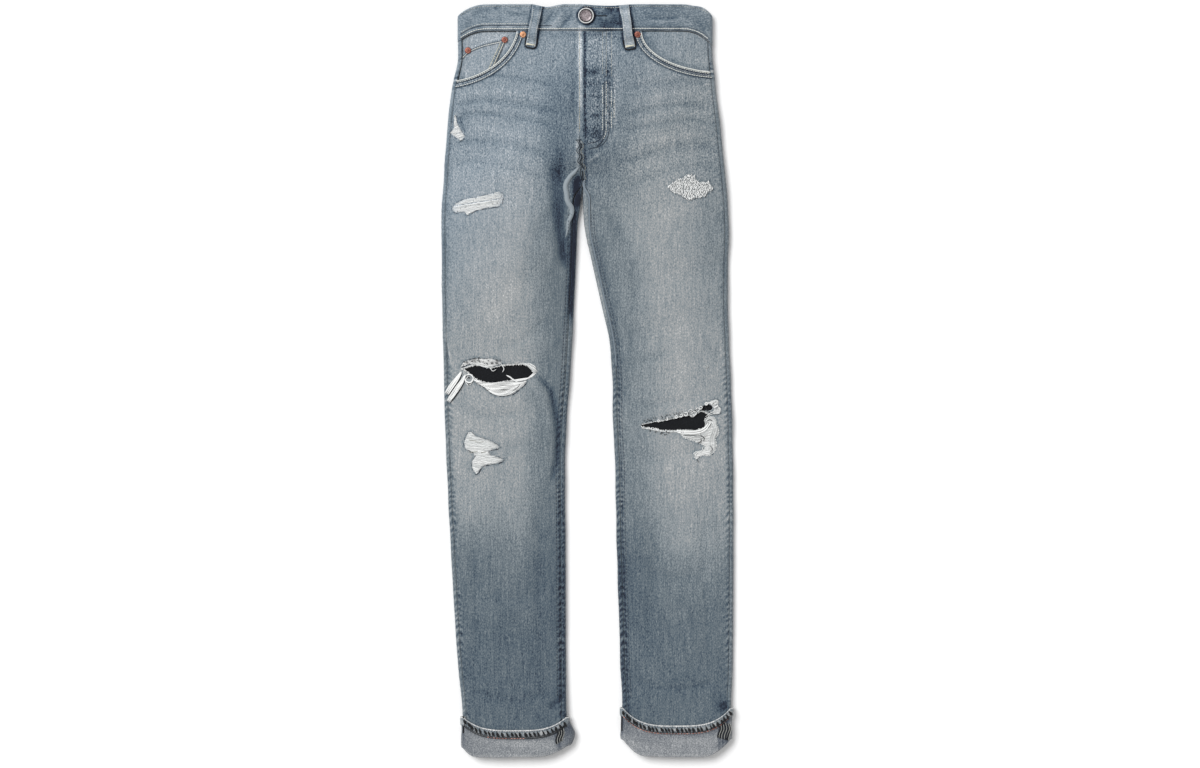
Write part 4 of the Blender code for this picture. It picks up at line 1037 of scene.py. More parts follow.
share = np.linspace(0, 1, BACK_COLUMNS)[None, :]
yoke_seam = YOKE_SIDE + (YOKE_CENTRE - YOKE_SIDE) * share
for side in SIDES:
    leg_end = CUFFS[side]["bottom"] + LEG_IN_CUFF + 0 * share
    for kind, bottom, top, rows, tone, flat, area in (
        ("back", leg_end, yoke_seam - YOKE_GAP, 300, 0, (0.285, 0.99), 0.188),
        ("yoke", yoke_seam + YOKE_GAP, WAIST_SEAM - WAIST_GAP + 0 * share, 22, -0.04, (0.215, 0.06), 0.0088),
    ):
        y = bottom + (top - bottom) * np.linspace(0, 1, rows)[:, None]
        g = back_girths(side, y)
        seam_away = np.minimum(OUTSEAM_INSET - g, np.where(y < CROTCH_BACK, g - g[:, -1:], FAR))
        grid, _, fade = sewn(side, y, g, seam_away, 0, -SIGN[side])
        cloth(f"{kind}_{side}", grid, quads_of(grid, flip=side == "right"), fade + tone, flat, ["floor"],
              "back_denim", area=area, speck=0.75)

# %% [markdown]
# ## Pocket facings, coin pocket and the cloth behind the knees
# What shows inside a pocket mouth is a facing of the same denim, and on the right side a small coin pocket
# sewn on it. Behind each ripped knee a piece of black cloth is sewn to the inside. They follow the front's
# own form a little way down, and take its creases too, so the layers never cross.


# %% Pocket facings
def girth_at(half, x, y):
    """The girth of the place above (x, y): the share u of the crown solves x, found by repeating."""
    s = section(half, y)
    across = np.abs(x - s["outer"])
    u = (across - SIDE_RADIUS) / s["span"]
    for _ in range(8):
        u = (across - SIDE_RADIUS + SIDE_RADIUS * np.sin(crown_tilt(s, u))) / s["span"]
    return s["roll"] + s["crown"] * u


def under_front(half, y, g, depth):
    """A grid that lies depth below the front's outer side and takes its creases."""
    grid = on_form(half, y, g)
    normals = normals_of(grid)
    normals = normals * np.sign(normals[..., 2:])
    grid = grid - normals * depth
    return grid + normals * front_height(grid[..., 0], grid[..., 1])[..., None]


FACING_MARGIN = 14                        # how far a facing goes past the mouth
FACING_DEPTH = {"right": 2 * (WALL + GAP) - 0.1, "left": WALL + GAP}
FACING_FADE = {"right": 0.69, "left": 0.61}
for side in SIDES:
    (centre_x, centre_y), across, down = MOUTHS[side].values()
    limit = centre_x + SIGN[side] * (across + FACING_MARGIN)
    y = np.linspace(centre_y - down - FACING_MARGIN, WAIST_SEAM - WAIST_GAP, 34)[:, None]
    start = OUTSEAM_INSET + 0.25
    g = start + (girth_at(side, limit, y) - start) * np.linspace(0, 1, 50)[None, :]
    grid = under_front(side, y + 0 * g, g, FACING_DEPTH[side])
    x, h = grid[..., 0], grid[..., 1]
    rim_away, _, _ = near_line(mouth_rim(side), x, h)
    fade = FACING_FADE[side] - 0.2 * bump(rim_away, 7) - 0.12 * bump(g - OUTSEAM_INSET, 2.5)
    fade = fade + 0.05 * unevenness(x, h)
    flat = float(g[0, -1] - g[0, 0]) * MM, float(y[-1, 0] - y[0, 0]) * MM
    cloth(f"pocket_facing_{side}", grid, quads_of(grid, flip=side == "left"), fade, flat,
          [f"front_{side}_cloth"])

# %% The coin pocket
COIN_POCKET = {"outer": -178.5, "inner": -115.5, "top_outer": 477, "top_inner": 494, "low": 423}
COIN_SLANT = 0.45          # how far its inner side leans outwards per millimetre down


def coin_side_x(y):
    """The inner side's x at height y: straight, and leaning."""
    return COIN_POCKET["inner"] - COIN_SLANT * (COIN_POCKET["top_inner"] - y)


across = np.linspace(0, 1, 30)[None, :]
coin_top = COIN_POCKET["top_outer"] + (COIN_POCKET["top_inner"] - COIN_POCKET["top_outer"]) * across
y = COIN_POCKET["low"] + (coin_top - COIN_POCKET["low"]) * np.linspace(0, 1, 30)[:, None]
x = COIN_POCKET["outer"] + (coin_side_x(y) - COIN_POCKET["outer"]) * across
grid = under_front("right", y, girth_at("right", x, y), WALL + GAP)
from_top, from_side = coin_top - y, coin_side_x(y) - x
fade = 0.66 - 0.16 * bump(from_top - 6, 1.6) - 0.16 * bump(from_side - 5, 2) + 0.1 * bump(from_top, 2)
fade = fade + 0.05 * unevenness(x, y)
grid[..., 2] -= 0.25 * bump(from_top - 6, 1.5)
cloth("coin_pocket", grid, quads_of(grid), fade, (0.063, 0.071), ["pocket_facing_right_cloth"], area=0.0029,
      wall=WALL * 0.9)

# %% The black backings
BACKING_MARGIN, BACKING_WALL = (8, 16), 1
black_cloth, tree, shader = finish("black_backing", roughness=0.95, sheen=0.08)
FINISHES["black_backing"] = (black_cloth,)
knit = grain(tree, (900, 500, 900))
shader.inputs["Base Color"].default_value = linear(16, 18, 22)
feed(tree, shader, {
    "Base Color": ramp(tree, knit, ((0.3, (10, 11, 14)), (0.55, (17, 19, 23)), (0.8, (32, 35, 40)))),
    "Normal": raised(tree, knit, 0.5, 0.0004),
})
for side in SIDES:
    low, high = np.min(RIPS[side], axis=0), np.max(RIPS[side], axis=0)
    x, y = (np.linspace(a - m, b + m, n) for a, b, m, n in zip(low, high, BACKING_MARGIN, (44, 24)))
    flat = float(np.ptp(x)) * MM, float(np.ptp(y)) * MM
    x, y = np.meshgrid(x, y)
    grid = under_front(side, y, girth_at(side, x, y), WALL + GAP)
    middle = np.mean(RIPS[side], axis=0)[1]
    grid[..., 2] -= 0.5 * bump((y - middle) / (high - low)[1], 0.8) * (0.5 + 0.5 * np.sin(x / 7 + y / 11))
    cloth(f"backing_patch_{side}", grid, quads_of(grid), None, flat, [f"front_{side}_cloth"], "black_backing",
          wall=BACKING_WALL)

# %% [markdown]
# ## Waistband
# The waistband is one straight strip, folded along its top and sewn to the waist seam. It goes from the
# left end with the buttonhole, round the back, to the right end that lies under it. Here it is a ring
# through the same form, moved out a little, with a soft channel pressed along each row of stitches.

# %% The waistband's form
BUTTON_CENTRE = (-4.7, 520.7)
HOLE_EYE, HOLE_OPEN = 2.5, 0.33           # the buttonhole's eye: its radius, and its open angle
HOLE_END, HOLE_SLIT = 31, 0.8             # where its slit ends, and half the slit's width
UPPER_LAYER = 60                          # the buttonhole goes only through this length of the band


def band_ring(y, across):
    """Points of the band at heights y; across runs 0 to 1 from the upper end round to the under end."""
    left, right = section("left", y), section("right", y)
    left_long = left["top"] + left["under"]
    g = across * (left_long + (right["under"] + right["top"] + WAISTBAND_UNDERLAP))
    on_left = g <= left_long
    gl = np.where(on_left, left["top"] - g, 0)
    gr = np.where(on_left, 0, g - left_long - right["under"])
    x, z = (np.where(on_left, a, b) for a, b in zip(on_section(left, gl), on_section(right, gr)))
    from_end = x - read_off("left_in", y) - WAISTBAND_UNDERLAP
    lap = np.where(on_left & (gl > left["roll"]), smoothstep((26 - from_end) / 24), 0)
    return together(x, y - waist_drop(x, y), z + (WAISTBAND_WALL + BAND_LAP_GAP) * lap), g


BAND_CREASES = (
    (((-46, 500), (-36, 510), (-24, 524)), 2.6, -0.8, -0.22),
    (((-56, 502), (-48, 514), (-36, 530)), 2.4, 0.6, 0.14),
    (((-66, 508), (-58, 520), (-50, 532)), 2.6, -0.6, -0.14),
    (((-30, 502), (-22, 512), (-14, 520)), 2, 0.5, 0.12),
    (((-120, 526), (-104, 522), (-88, 526)), 3, -0.4, -0.1),
    (((-172, 524), (-150, 530), (-124, 533)), 3, -0.4, -0.1),
    (((76, 516), (104, 513), (134, 516), (156, 508)), 1.8, 0.5, 0.14),
    (((76, 520), (104, 517.5), (134, 520)), 2.2, -0.6, -0.14),
    (((150, 524), (158, 514), (170, 500)), 3, -0.6, -0.12), (((14, 528), (22, 534)), 2.2, 0.5, 0.22),
    (((26, 536), (36, 522), (44, 506)), 3, -0.9, -0.16), (((38, 530), (28, 520), (16, 518)), 2.2, 0.8, 0.2),
    (((30, 538), (42, 528)), 4, -0.8, -0.2), (((12, 506), (34, 512), (46, 504)), 3, -0.5, -0.12),
    (((60, 534), (64, 520), (60, 504)), 3.5, -0.5, -0.06),
    (((-40, 534), (-34, 520), (-38, 504)), 3.5, -0.5, -0.08),
    (((-64, 532), (-58, 518), (-62, 506)), 4, -0.4, -0.05),
    (((-130, 530), (-126, 514), (-132, 500)), 4, -0.5, -0.06),
    (((120, 530), (114, 514), (118, 500)), 4, -0.5, -0.06),
    (((-176, 520), (-166, 506), (-172, 494)), 4, -0.5, -0.05),
)
BAND_WEAR = (
    (24, 520, 22, 60, -0.31), (96, 520, 70, 60, -0.16), (-60, 520, 50, 60, 0.02), (-12, 516, 5, 40, 0.22),
)

# %% The waistband
y = np.linspace(WAIST_SEAM, WAIST_SEAM + WAISTBAND_HEIGHT, 26)[:, None]
share = np.linspace(0, 1, 400)[None, :]
grid, along_band = band_ring(y + 0 * share, share + 0 * y)
normals = normals_of(grid)
grid = grid + normals * WAISTBAND_PROUD
x, h = grid[..., 0], grid[..., 1]
up = smoothstep((normals[..., 2] + 0.3) / 0.6)
rise, paler = creased(BAND_CREASES, x, y + 0 * x)
from_low, from_high = y - WAIST_SEAM, WAIST_SEAM + WAISTBAND_HEIGHT - y
rows = bump(from_low - 2.4, 1) + bump(from_high - 3.2, 1)
near_rows = bump(from_low - 2, 4) + 0.7 * bump(from_high - 3, 4)
ripple = np.sin(along_band / 4.6 + 1.3 * np.sin(along_band / 31)) * near_rows
grid = grid + normals * (up * rise - 0.32 * rows + 0.2 * ripple - 0.9 * bump(from_high, 1.1))[..., None]
grid[..., 2] = np.maximum(grid[..., 2], 0.02)
# a ring of painted shadow round the button; the belt loops' painted shadow is taken off the band too
button_shadow_ring = bump(np.hypot(x - BUTTON_CENTRE[0], h - BUTTON_CENTRE[1]) - 12.2, 2)
on_top = worn(BAND_WEAR, x, h) + paler - 0.5 * loop_painted_shadow(x, h) - 0.62 * button_shadow_ring
fade = 0.56 + up * on_top - 0.06 * (1 - up) + 0.09 * ripple - 0.1 * rows
# the folded top edge is paler: worn, and partly a painted highlight
fade = fade + 0.14 * bump(from_high, 1.6) + 0.04 * unevenness(x * 1.7, h)
turn = np.linspace(HOLE_OPEN, 2 * math.pi - HOLE_OPEN, 25)
buttonhole = BUTTON_CENTRE + np.vstack([
    together(HOLE_EYE * np.cos(turn), HOLE_EYE * np.sin(turn)),
    [(HOLE_END - HOLE_SLIT, -HOLE_SLIT), (HOLE_END, 0), (HOLE_END - HOLE_SLIT, HOLE_SLIT)],
])
through = normals * (along_band < UPPER_LAYER)[..., None]
points, quads = cut_out(grid, through, quads_of(grid), buttonhole)
cloth("waistband", points, quads, fade, (0.79, 0.038), ["front_right_cloth", "front_left_cloth"],
      "waistband_denim", wall=WAISTBAND_WALL, bevel=0.5)

# %% [markdown]
# ## Cuffs and hems
# Each leg ends in one turn-up, so the wrong side of the denim shows, greyer and softer than the face. Its
# upper edge is the leg's own hem, seen from the wrong side, with the face of the cloth folded over it. A
# cuff is a profile, from the top edge down and round the fold, carried round the leg as a closed loop.

# %% Cuffs and hems
CUFF_DARK = (              # the seams' bundled edges, and the darker flare at the right leg's inner end
    (-43, -512, 2.6, 16, -0.55), (-49, -508, 1.4, 14, -0.2), (-27, -500, 13, 26, -0.32),
    (-180.5, -500, 1.8, 26, -0.4),
    (46.5, -492, 2.6, 16, -0.55), (186, -508, 1.8, 22, -0.5), (191, -508, 1.6, 22, -0.45),
    (197, -508, 2.6, 24, -0.5),
)
# x, reach, how far down
CUFF_CORNERS = {"right": ((-170, 16, 6), (-100, 34, -2.5)), "left": ((70, 16, 4), (172, 16, 3))}
CLEAR = GAP + WALL
CUFF_PROFILE = (           # from, how far above it, how far out past CLEAR
    ("top", 0, 0), ("top", -14, 0), ("bottom", 16, 0.4), ("bottom", 6, 0.9), ("bottom", 1.6, 0.8),
    ("bottom", 0.2, 0),
    ("bottom", 0.3, -0.8), ("bottom", 2.2, 0.25 - CLEAR),
)


def leg_loop(half, y, out, steps):
    """Loops round a leg at heights y, moved out from its form, in even steps from the outer edge."""
    s = section(half, y)
    g = s["top"] - np.linspace(0, 1, steps, endpoint=False)[None, :] * (s["top"] + s["under"])
    x, z = on_section(s, g)
    loop = together(x, y + 0 * x, z)
    normals = normals_of(loop, wrap=True)
    centre = loop.mean(axis=1, keepdims=True)
    normals = normals * np.sign(((loop - centre) * normals).sum(axis=(1, 2), keepdims=True))
    loop = loop + normals * (out + 0 * x)[..., None]
    across = (loop[..., 0] - s["outer"]) / (s["inner"] - s["outer"])
    loop[..., 0] += s["sign"] * CUFF_EASE * (2 * across - 1) ** 3
    front = smoothstep((loop[..., 2] - read_off("floor", y) - SIDE_RADIUS + 2) / 4)
    loop[..., 1] = y - front * cuff_sag(half, loop[..., 0], 1) - (1 - front) * cuff_sag(half, loop[..., 0], 0)
    return loop, normals, g, front


for side in SIDES:
    top, bottom = CUFFS[side]["top"], CUFFS[side]["bottom"]
    profile = smooth_line([(CUFFS[side][end] + above, CLEAR + out) for end, above, out in CUFF_PROFILE], 5)
    rows = profile[:, :1]
    loop, normals, g, front = leg_loop(side, rows, profile[:, 1:], 180)
    down = (top - rows) / (top - bottom)
    swell = 0.45 * unevenness(loop[..., 0] * 1.4 + 60, loop[..., 0] * 0.9 + 4 * rows)
    swell = swell * smoothstep((down - 0.3) / 0.3) * front
    loop = loop + normals * np.maximum(swell, -0.25)[..., None] * smoothstep((0.97 - down) / 0.1)[..., None]
    lower = smoothstep((down - 0.3) / 0.5) * front
    for centre, reach, dip in CUFF_CORNERS[side]:
        loop[..., 1] -= dip * bump(loop[..., 0] - centre, reach) * lower
    if side == "right":
        loop[..., 0] += 9 * smoothstep((loop[..., 0] + 52) / 20) * bump(loop[..., 1] + 506, 15)
    x, h = loop[..., 0], loop[..., 1]
    seams = bump(g - OUTSEAM_INSET - 2, 5) + bump(g - section(side, rows)["top"] + INSEAM_INSET, 4.5)
    fade = 0.56 + 0.05 * unevenness(x * 2, rows * 3) + 0.1 * smoothstep((down - 0.86) / 0.1) - 0.07 * seams
    fade = fade - 0.12 * bump(down - 0.33, 0.05) + worn(CUFF_DARK, x, h)
    way_out = np.cross(np.roll(loop, -1, axis=1) - loop, np.gradient(loop, axis=0))
    flip = ((loop - loop.mean(axis=(0, 1))) * way_out).sum() <= 0
    girth = float(np.linalg.norm(np.roll(loop[5], -1, axis=0) - loop[5], axis=1).sum()) * MM
    cloth(f"cuff_{side}", loop, quads_of(loop, True, flip), fade, (girth, (top - bottom + 4) * MM),
          [f"front_{side}_cloth", f"back_{side}_cloth"], "inside_denim", "folded")

    rows = np.linspace(top + 0.3, top - HEM_HEIGHT, 12)[:, None]
    edge = bump(rows - top, 1.2) + bump(rows - top + HEM_HEIGHT, 1)
    loop, normals, g, front = leg_loop(side, rows, 2 * CLEAR - 0.35 * edge, 180)
    rope = np.sin(g / 3.1 + rows / 3) * bump(rows - top + 6.5, 3)
    loop = loop + normals * (0.16 * rope * front)[..., None]
    fade = 0.72 - 0.08 * bump(rows - top + 6, 4) + 0.12 * rope + 0.22 * bump(rows - top + 0.9, 1.5)
    fade = fade - 0.34 * bump(rows - top + 2.6, 0.8) - 0.1 * seams[:1]
    cloth(f"hem_{side}", loop, quads_of(loop, True, flip), fade, (girth + 0.01, HEM_HEIGHT * MM),
          [f"cuff_{side}_cloth"], held="folded", finishes=(front_denim, front_denim))

# %% [markdown]
# ## Belt loops
# A belt loop is a narrow strip, folded and stitched along both edges, whose ends are tacked down while
# the middle stands clear for the belt. On the front they are strips carried along an arch; on the back
# they are pressed flat by the garment's weight, as the back pockets are.


# %% Front belt loops
def front_surface(half, x, y):
    """The height z of the front's outer side above (x, y)."""
    _, z = on_section(section(half, y), girth_at(half, x, y))
    return z + (fly_lift(x, y) if half == "left" else 0)


# how pale its edges are, its tone, its sway
LOOP_LOOK = {"right": (1, -0.1, 1), "left": (0.4, 0.04, 2.2)}
s, w = np.linspace(0, 1, 64)[:, None], np.linspace(-1, 1, 17)[None, :]
arch = smoothstep((s - 0.09) / 0.2) * smoothstep((0.91 - s) / 0.2)
from_edge = np.abs(w)
edges_down = 0.55 * bump(from_edge - 1, 0.1) + 0.22 * bump(from_edge - 0.7, 0.08)
ends_down = 0.5 * bump(s, 0.012) + 0.5 * bump(s - 1, 0.012) + 0.3 * bump(s - 0.045, 0.012)
ripple = 0.12 * np.sin(s * 74 + 2 * np.sign(w)) * bump(from_edge - 0.85, 0.2)
pale = 0.2 * bump(from_edge - 0.96, 0.1) - 0.2 * bump(from_edge - 0.62, 0.1) + 0.26 * bump(s, 0.03)
for side in SIDES:
    edge_pale, tone, sway = LOOP_LOOK[side]
    top, foot, _, aside = loop_axes(side)
    direction, aside = top - foot, aside * LOOP_WIDTH / 2
    x, y = foot[0] + s * direction[0], foot[1] + s * direction[1]
    on_band = smoothstep((y - WAIST_SEAM + 6) / 6)
    base = front_surface(side, x, np.minimum(y, WAIST_SEAM)) + WAISTBAND_PROUD * on_band
    z = base + GAP + LOOP_WALL + LOOP_RISE * arch + 0.3 * (on_band > 0)
    reach = w * (1 - 0.1 * arch)
    across_x = x + reach * aside[0] + 0.5 * np.sin(s * 9 + sway) * arch
    across_y = y + reach * aside[1] + 0.8 * bump(s, 0.06) * (1 - w**2)
    grid = together(across_x, across_y, z + 0 * w - edges_down - ends_down + ripple)
    fade = 0.68 + pale * edge_pale - 0.1 * bump(s - 0.93, 0.06) + 0.04 * np.sin(s * 17 + w) + tone
    cloth(f"belt_loop_front_{side}", grid, quads_of(grid), fade, (LOOP_WIDTH * MM, 0.066),
          ["waistband_cloth", f"front_{side}_cloth"], "waistband_denim", "folded", wall=LOOP_WALL, bevel=0.35)

# %% Back belt loops and pockets
BACK_LOOPS = {"right": -118, "centre": -6, "left": 106}
BACK_POCKETS = {"right": -110, "left": 88}
POCKET_TOP, POCKET_CORNER, POCKET_POINT, POCKET_HALF_TOP, POCKET_HALF_FOOT = 425, 288, 266, 74, 62
BACK_LOOP_FOOT, BACK_LOOP_TOP = 478, 537


def pressed(node_name, centre, half_foot, half_top, heights, wall, size, flat, area=None):
    """A patch pressed flat on the underside, its outer side down at z = 0. It is half_foot wide on each
    side of its centre at the foot and half_top at the top; heights: foot's middle and corners, top."""
    u, v = np.meshgrid(np.linspace(0, 1, size[1]), np.linspace(0, 1, size[0]))
    middle, corner, top = heights
    x = centre + (2 * u - 1) * (half_foot + (half_top - half_foot) * v)
    y = (middle + (corner - middle) * np.abs(2 * u - 1)) * (1 - v) + top * v
    edge = np.minimum(np.minimum(u, 1 - u) * np.ptp(x), np.minimum(v, 1 - v) * np.ptp(y))
    z = 0.3 * bump(edge, 1) + 0.18 * bump(edge - 3, 0.9) + 0.18 * bump(edge - 9, 0.9) * (wall > 1.5)
    ripple = 0.1 * np.sin((x + y) / 1.9) * bump(edge - 5, 5)
    fade = 0.64 + 0.16 * bump(edge, 1.6) - 0.12 * bump(edge - 3, 1.2) - 0.1 * bump(edge - 9, 1.2)
    fade = fade + 0.6 * ripple + 0.04 * unevenness(x, y)
    grid = together(x, y, z + np.maximum(ripple, 0))
    cloth(node_name, grid, quads_of(grid, flip=True), fade, flat, ["floor"], "back_denim", area=area,
          wall=wall)


for name, centre in BACK_LOOPS.items():
    pressed(f"belt_loop_back_{name}", centre, LOOP_WIDTH / 2, LOOP_WIDTH / 2,
            (BACK_LOOP_FOOT, BACK_LOOP_FOOT, BACK_LOOP_TOP), 1.2, (40, 13), (0.014, 0.059))
for side, centre in BACK_POCKETS.items():
    pressed(f"back_pocket_{side}", centre, POCKET_HALF_FOOT, POCKET_HALF_TOP,
            (POCKET_POINT, POCKET_CORNER, POCKET_TOP), 1.8, (56, 56), (0.148, 0.159), 0.0203)

# %% [markdown]
# ## Metal parts
# The button is a pressed cap with a rolled rim round a dished face, and its finish has dulled. The rivets
# are small copper caps. Both are profiles turned round an axis: the surface is a function of the distance
# along the profile and the angle.


# %% Turned metal
def turned(name, profile, centre, tilt, material, steps=64):
    """A profile of (radius, height) turned round an axis; tilt leans it about Y."""
    line = smooth_line(profile, 4)
    a = np.linspace(0, 2 * math.pi, steps, endpoint=False)[None, :]
    r, h = np.maximum(line[:, :1], 0.001), line[:, 1:]
    x, y, z = r * np.cos(a), r * np.sin(a), h + 0 * a
    x, z = x * math.cos(tilt) + z * math.sin(tilt), z * math.cos(tilt) - x * math.sin(tilt)
    grid = together(x, y, z) + centre
    return piece(name, grid, quads_of(grid, True, True), (material,))


def aged_metal(name, colours, roughness, patch_scale, metallic=0.85):
    """Dull metal: a ramp of patches where the metal has dulled with age, and a bump of fine dents."""
    made, tree, shader = finish(name, roughness, metallic)
    dents = grain(tree, (1400,) * 3)
    patches = ramp(tree, grain(tree, (patch_scale,) * 3, 4), zip((0.3, 0.5, colours[0]), colours[1:]))
    feed(tree, shader, {"Base Color": patches, "Normal": raised(tree, dents, 0.5, 0.0002)})
    return made


METALS = {                 # where its palest colour starts, its three colours; roughness, patches per metre
    "bright_copper": ((0.75, (156, 104, 76), (200, 146, 108), (232, 198, 168)), 0.5, 700),
    "button_metal": ((0.72, (96, 88, 92), (140, 130, 133), (182, 174, 176)), 0.42, 420),
    "copper": ((0.75, (92, 50, 44), (146, 90, 78), (192, 144, 128)), 0.5, 700),
    # a lighter copy of the button's metal for the ring on its rim: a painted highlight
    "highlight_metal": ((0.72, (176, 178, 178), (212, 213, 212), (238, 238, 236)), 0.5, 420, 0.2),
}
metals = {name: aged_metal(name, *look) for name, look in METALS.items()}
# the dark finish in the button's groove: tarnish, and painted shade of the groove
metals["tarnish_and_shade"], tree, shader = finish("tarnish_and_shade", roughness=0.7, metallic=0.3)
shader.inputs["Base Color"].default_value = linear(34, 32, 38)

# %% The button
UNDER_BUTTON_X, SHANK_GAP = -17.7, 0.7
below_button = front_surface("right", np.array(UNDER_BUTTON_X), np.array(BUTTON_CENTRE[1]))
band_under = float(below_button) + WAISTBAND_PROUD
head = band_under + BAND_LAP_GAP + WAISTBAND_WALL + SHANK_GAP
shank = band_under + GAP - head
BUTTON = (
    (0, 2.6), (4, 2.6), (7, 2.8), (7.7, 3.4), (8.2, 3.2), (8.9, 2.2), (9.1, 1.3), (9.5, 1.3), (9.8, 2.4),
    (10.3, 3),
    (10.9, 2.6), (11.1, 1.6), (10.9, 0.5), (10.2, 0), (5, 0), (1.7, 0), (1.6, -0.4), (1.6, shank + 0.3),
    (1.5, shank),
    (0, shank),
)
GROOVE = (7.9, 0), (8.1, 1.7), (8.5, 2.3), (9.3, 2.3), (9.6, 1.7), (9.8, 0)
a = np.linspace(0, 2 * math.pi, 13)
RING = together(10.3 + 0.8 * np.cos(a), 2.6 + 0.7 * np.sin(a))
for name, profile, up, metal in (
    ("cap", BUTTON, 0, "button_metal"), ("groove", GROOVE, 1, "tarnish_and_shade"), ("ring", RING, 0, "highlight_metal"),
):
    made = turned(f"waist_button_{name}", profile, (*BUTTON_CENTRE, head + up), 0, metals[metal])
    if name == "cap":
        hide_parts("waist_button")

# %% The rivets
RIVETS = {                 # x, y, and how far below the front's outer side it is set
    "rivet_front_right": (-94.6, 494.3, 0), "rivet_coin_inner": (-121, 487, WALL + GAP),
    "rivet_coin_outer": (-173.5, 472, WALL + GAP), "rivet_front_left": (69, 494.3, 0),
}
RIVET = (
    (0, 1.9), (0.9, 1.85), (1.5, 1.5), (1.9, 1.15), (3, 1.15), (4.1, 0.9), (4.6, 0.45), (4.6, 0.1),
    (4.2, 0), (0, 0),
)
RIVET_RADIUS = 4.6
for name, (x, y, depth) in RIVETS.items():
    at = x + np.array((0, RIVET_RADIUS, -RIVET_RADIUS))
    middle, right, left = front_surface("right" if x < 0 else "left", at, np.array((min(y, WAIST_SEAM),) * 3))
    lean = float(right - left)
    centre = x, y, float(middle) - depth + GAP + abs(lean) / 3
    metal = metals["bright_copper" if name == "rivet_front_right" else "copper"]
    made = turned(f"{name}_cap", RIVET, centre, -math.atan(lean / (2 * RIVET_RADIUS)), metal, 32)
    stands_for(name)

# %% [markdown]
# ## Thread
# Stitches and loose yarns are all the same shape: a thin tube along a path. Hundreds of them are worked
# out at once, as one array of paths, and become one mesh. A stitch is a short arched tube of five rings
# whose ends dip into the cloth. To find the cloth below a path, a ray is dropped on the finished pieces.

# %% The cloth below a point
bpy.context.view_layer.update()
ready = bpy.context.evaluated_depsgraph_get()
cloth_below = {}


def heights_on(names, xy, up=False):
    """Heights of the outermost of the named pieces at each (x, y), seen from above, or from below with up."""
    start, way, outermost = (-0.05, 1, min) if up else (0.08, -1, max)
    for name in names:
        if name not in cloth_below:
            cloth_below[name] = BVHTree.FromObject(bpy.data.objects[name], ready)
    spots = xy.reshape(-1, 2) * MM
    found = np.full(len(spots), np.nan)
    for i, (px, py) in enumerate(spots):
        hits = [cloth_below[n].ray_cast((px, py, start), (0, 0, way))[0] for n in names]
        found[i] = outermost((hit.z * 1000 for hit in hits if hit is not None), default=np.nan)
    known = ~np.isnan(found)
    if known.any() and not known.all():
        found = np.interp(np.arange(len(found)), np.flatnonzero(known), found[known])
    return found.reshape(xy.shape[:-1])


# %% Tubes along many paths
TUBE_SIDES = 4


def tubes(name, paths, radii, material, fade):
    """Tubes along paths (tubes, points, 3): rings of TUBE_SIDES corners, square to each path's tangent."""
    paths = np.asarray(paths, float)
    count, stations = paths.shape[:2]
    radii = np.broadcast_to(radii, (count, stations))
    ahead = np.gradient(paths, axis=1)
    ahead /= np.maximum(np.linalg.norm(ahead, axis=-1, keepdims=True), 1e-9)
    upward = np.where(np.abs(ahead[..., 2:]) > 0.9, (0.0, 1.0, 0.0), (0.0, 0.0, 1.0))
    side = np.cross(ahead, upward)
    side /= np.linalg.norm(side, axis=-1, keepdims=True)
    over = np.cross(side, ahead)
    a = np.linspace(0, 2 * math.pi, TUBE_SIDES, endpoint=False) + math.pi / TUBE_SIDES
    ring = side[:, :, None] * np.cos(a)[:, None] + over[:, :, None] * np.sin(a)[:, None]
    points = paths[:, :, None] + ring * radii[..., None, None]
    i = np.arange(count * stations * TUBE_SIDES).reshape(count, stations, TUBE_SIDES)
    j = np.roll(i, -1, axis=2)
    skin = together(i[:, :-1], i[:, 1:], j[:, 1:], j[:, :-1]).reshape(-1, 4)
    tone = np.broadcast_to(np.reshape(fade, (-1, 1, 1)), i.shape)
    made = piece(name, points, np.concatenate([skin, i[:, 0], i[:, -1, ::-1]]), (thread[material],), tone)


def stitch_paths(line, names, pitch=3.4, share=0.72, radius=0.42, up=False, proud=0.1):
    """Paths and radii of one row of stitches along a line on the cloth."""
    spots = evenly(line, pitch)
    step = np.diff(spots, axis=0) * share
    xy = spots[:-1, None] + step[:, None] * np.array((0, 0.18, 0.5, 0.82, 1))[:, None]
    arch = np.array((-0.55, 0.35, 0.6, 0.35, -0.55)) * radius + proud
    path = with_z(xy, heights_on(names, xy, up) + (-arch if up else arch))
    return path, radius * np.array((0.4, 0.95, 1, 0.95, 0.4)) * np.ones((len(xy), 1))


def sewing(name, rows, names, material, fade, slot="front_denim", spread=0.12, **shape):
    """Several rows of stitches as one piece."""
    paths, radii = (np.concatenate(part) for part in zip(*(stitch_paths(row, names,
        **shape) for row in rows)))
    tubes(name, paths, radii, material, fade + spread * rng.uniform(-1, 1, len(paths)))


def cords(name, lines, names, radius, material, tone, lift=0.05, up=False, stations=60):
    """Long unbroken threads along lines on the cloth, one tube each, each with its own radius."""
    paths = []
    for line in lines:
        spots = evenly(line, 1.5)
        xy = read_along(spots[:, :2], np.arange(len(spots)), np.linspace(0, len(spots) - 1, stations))
        paths.append(with_z(xy, heights_on(names, xy, up) + lift))
    tubes(name, paths, np.reshape(radius, (-1, 1)), material, tone)


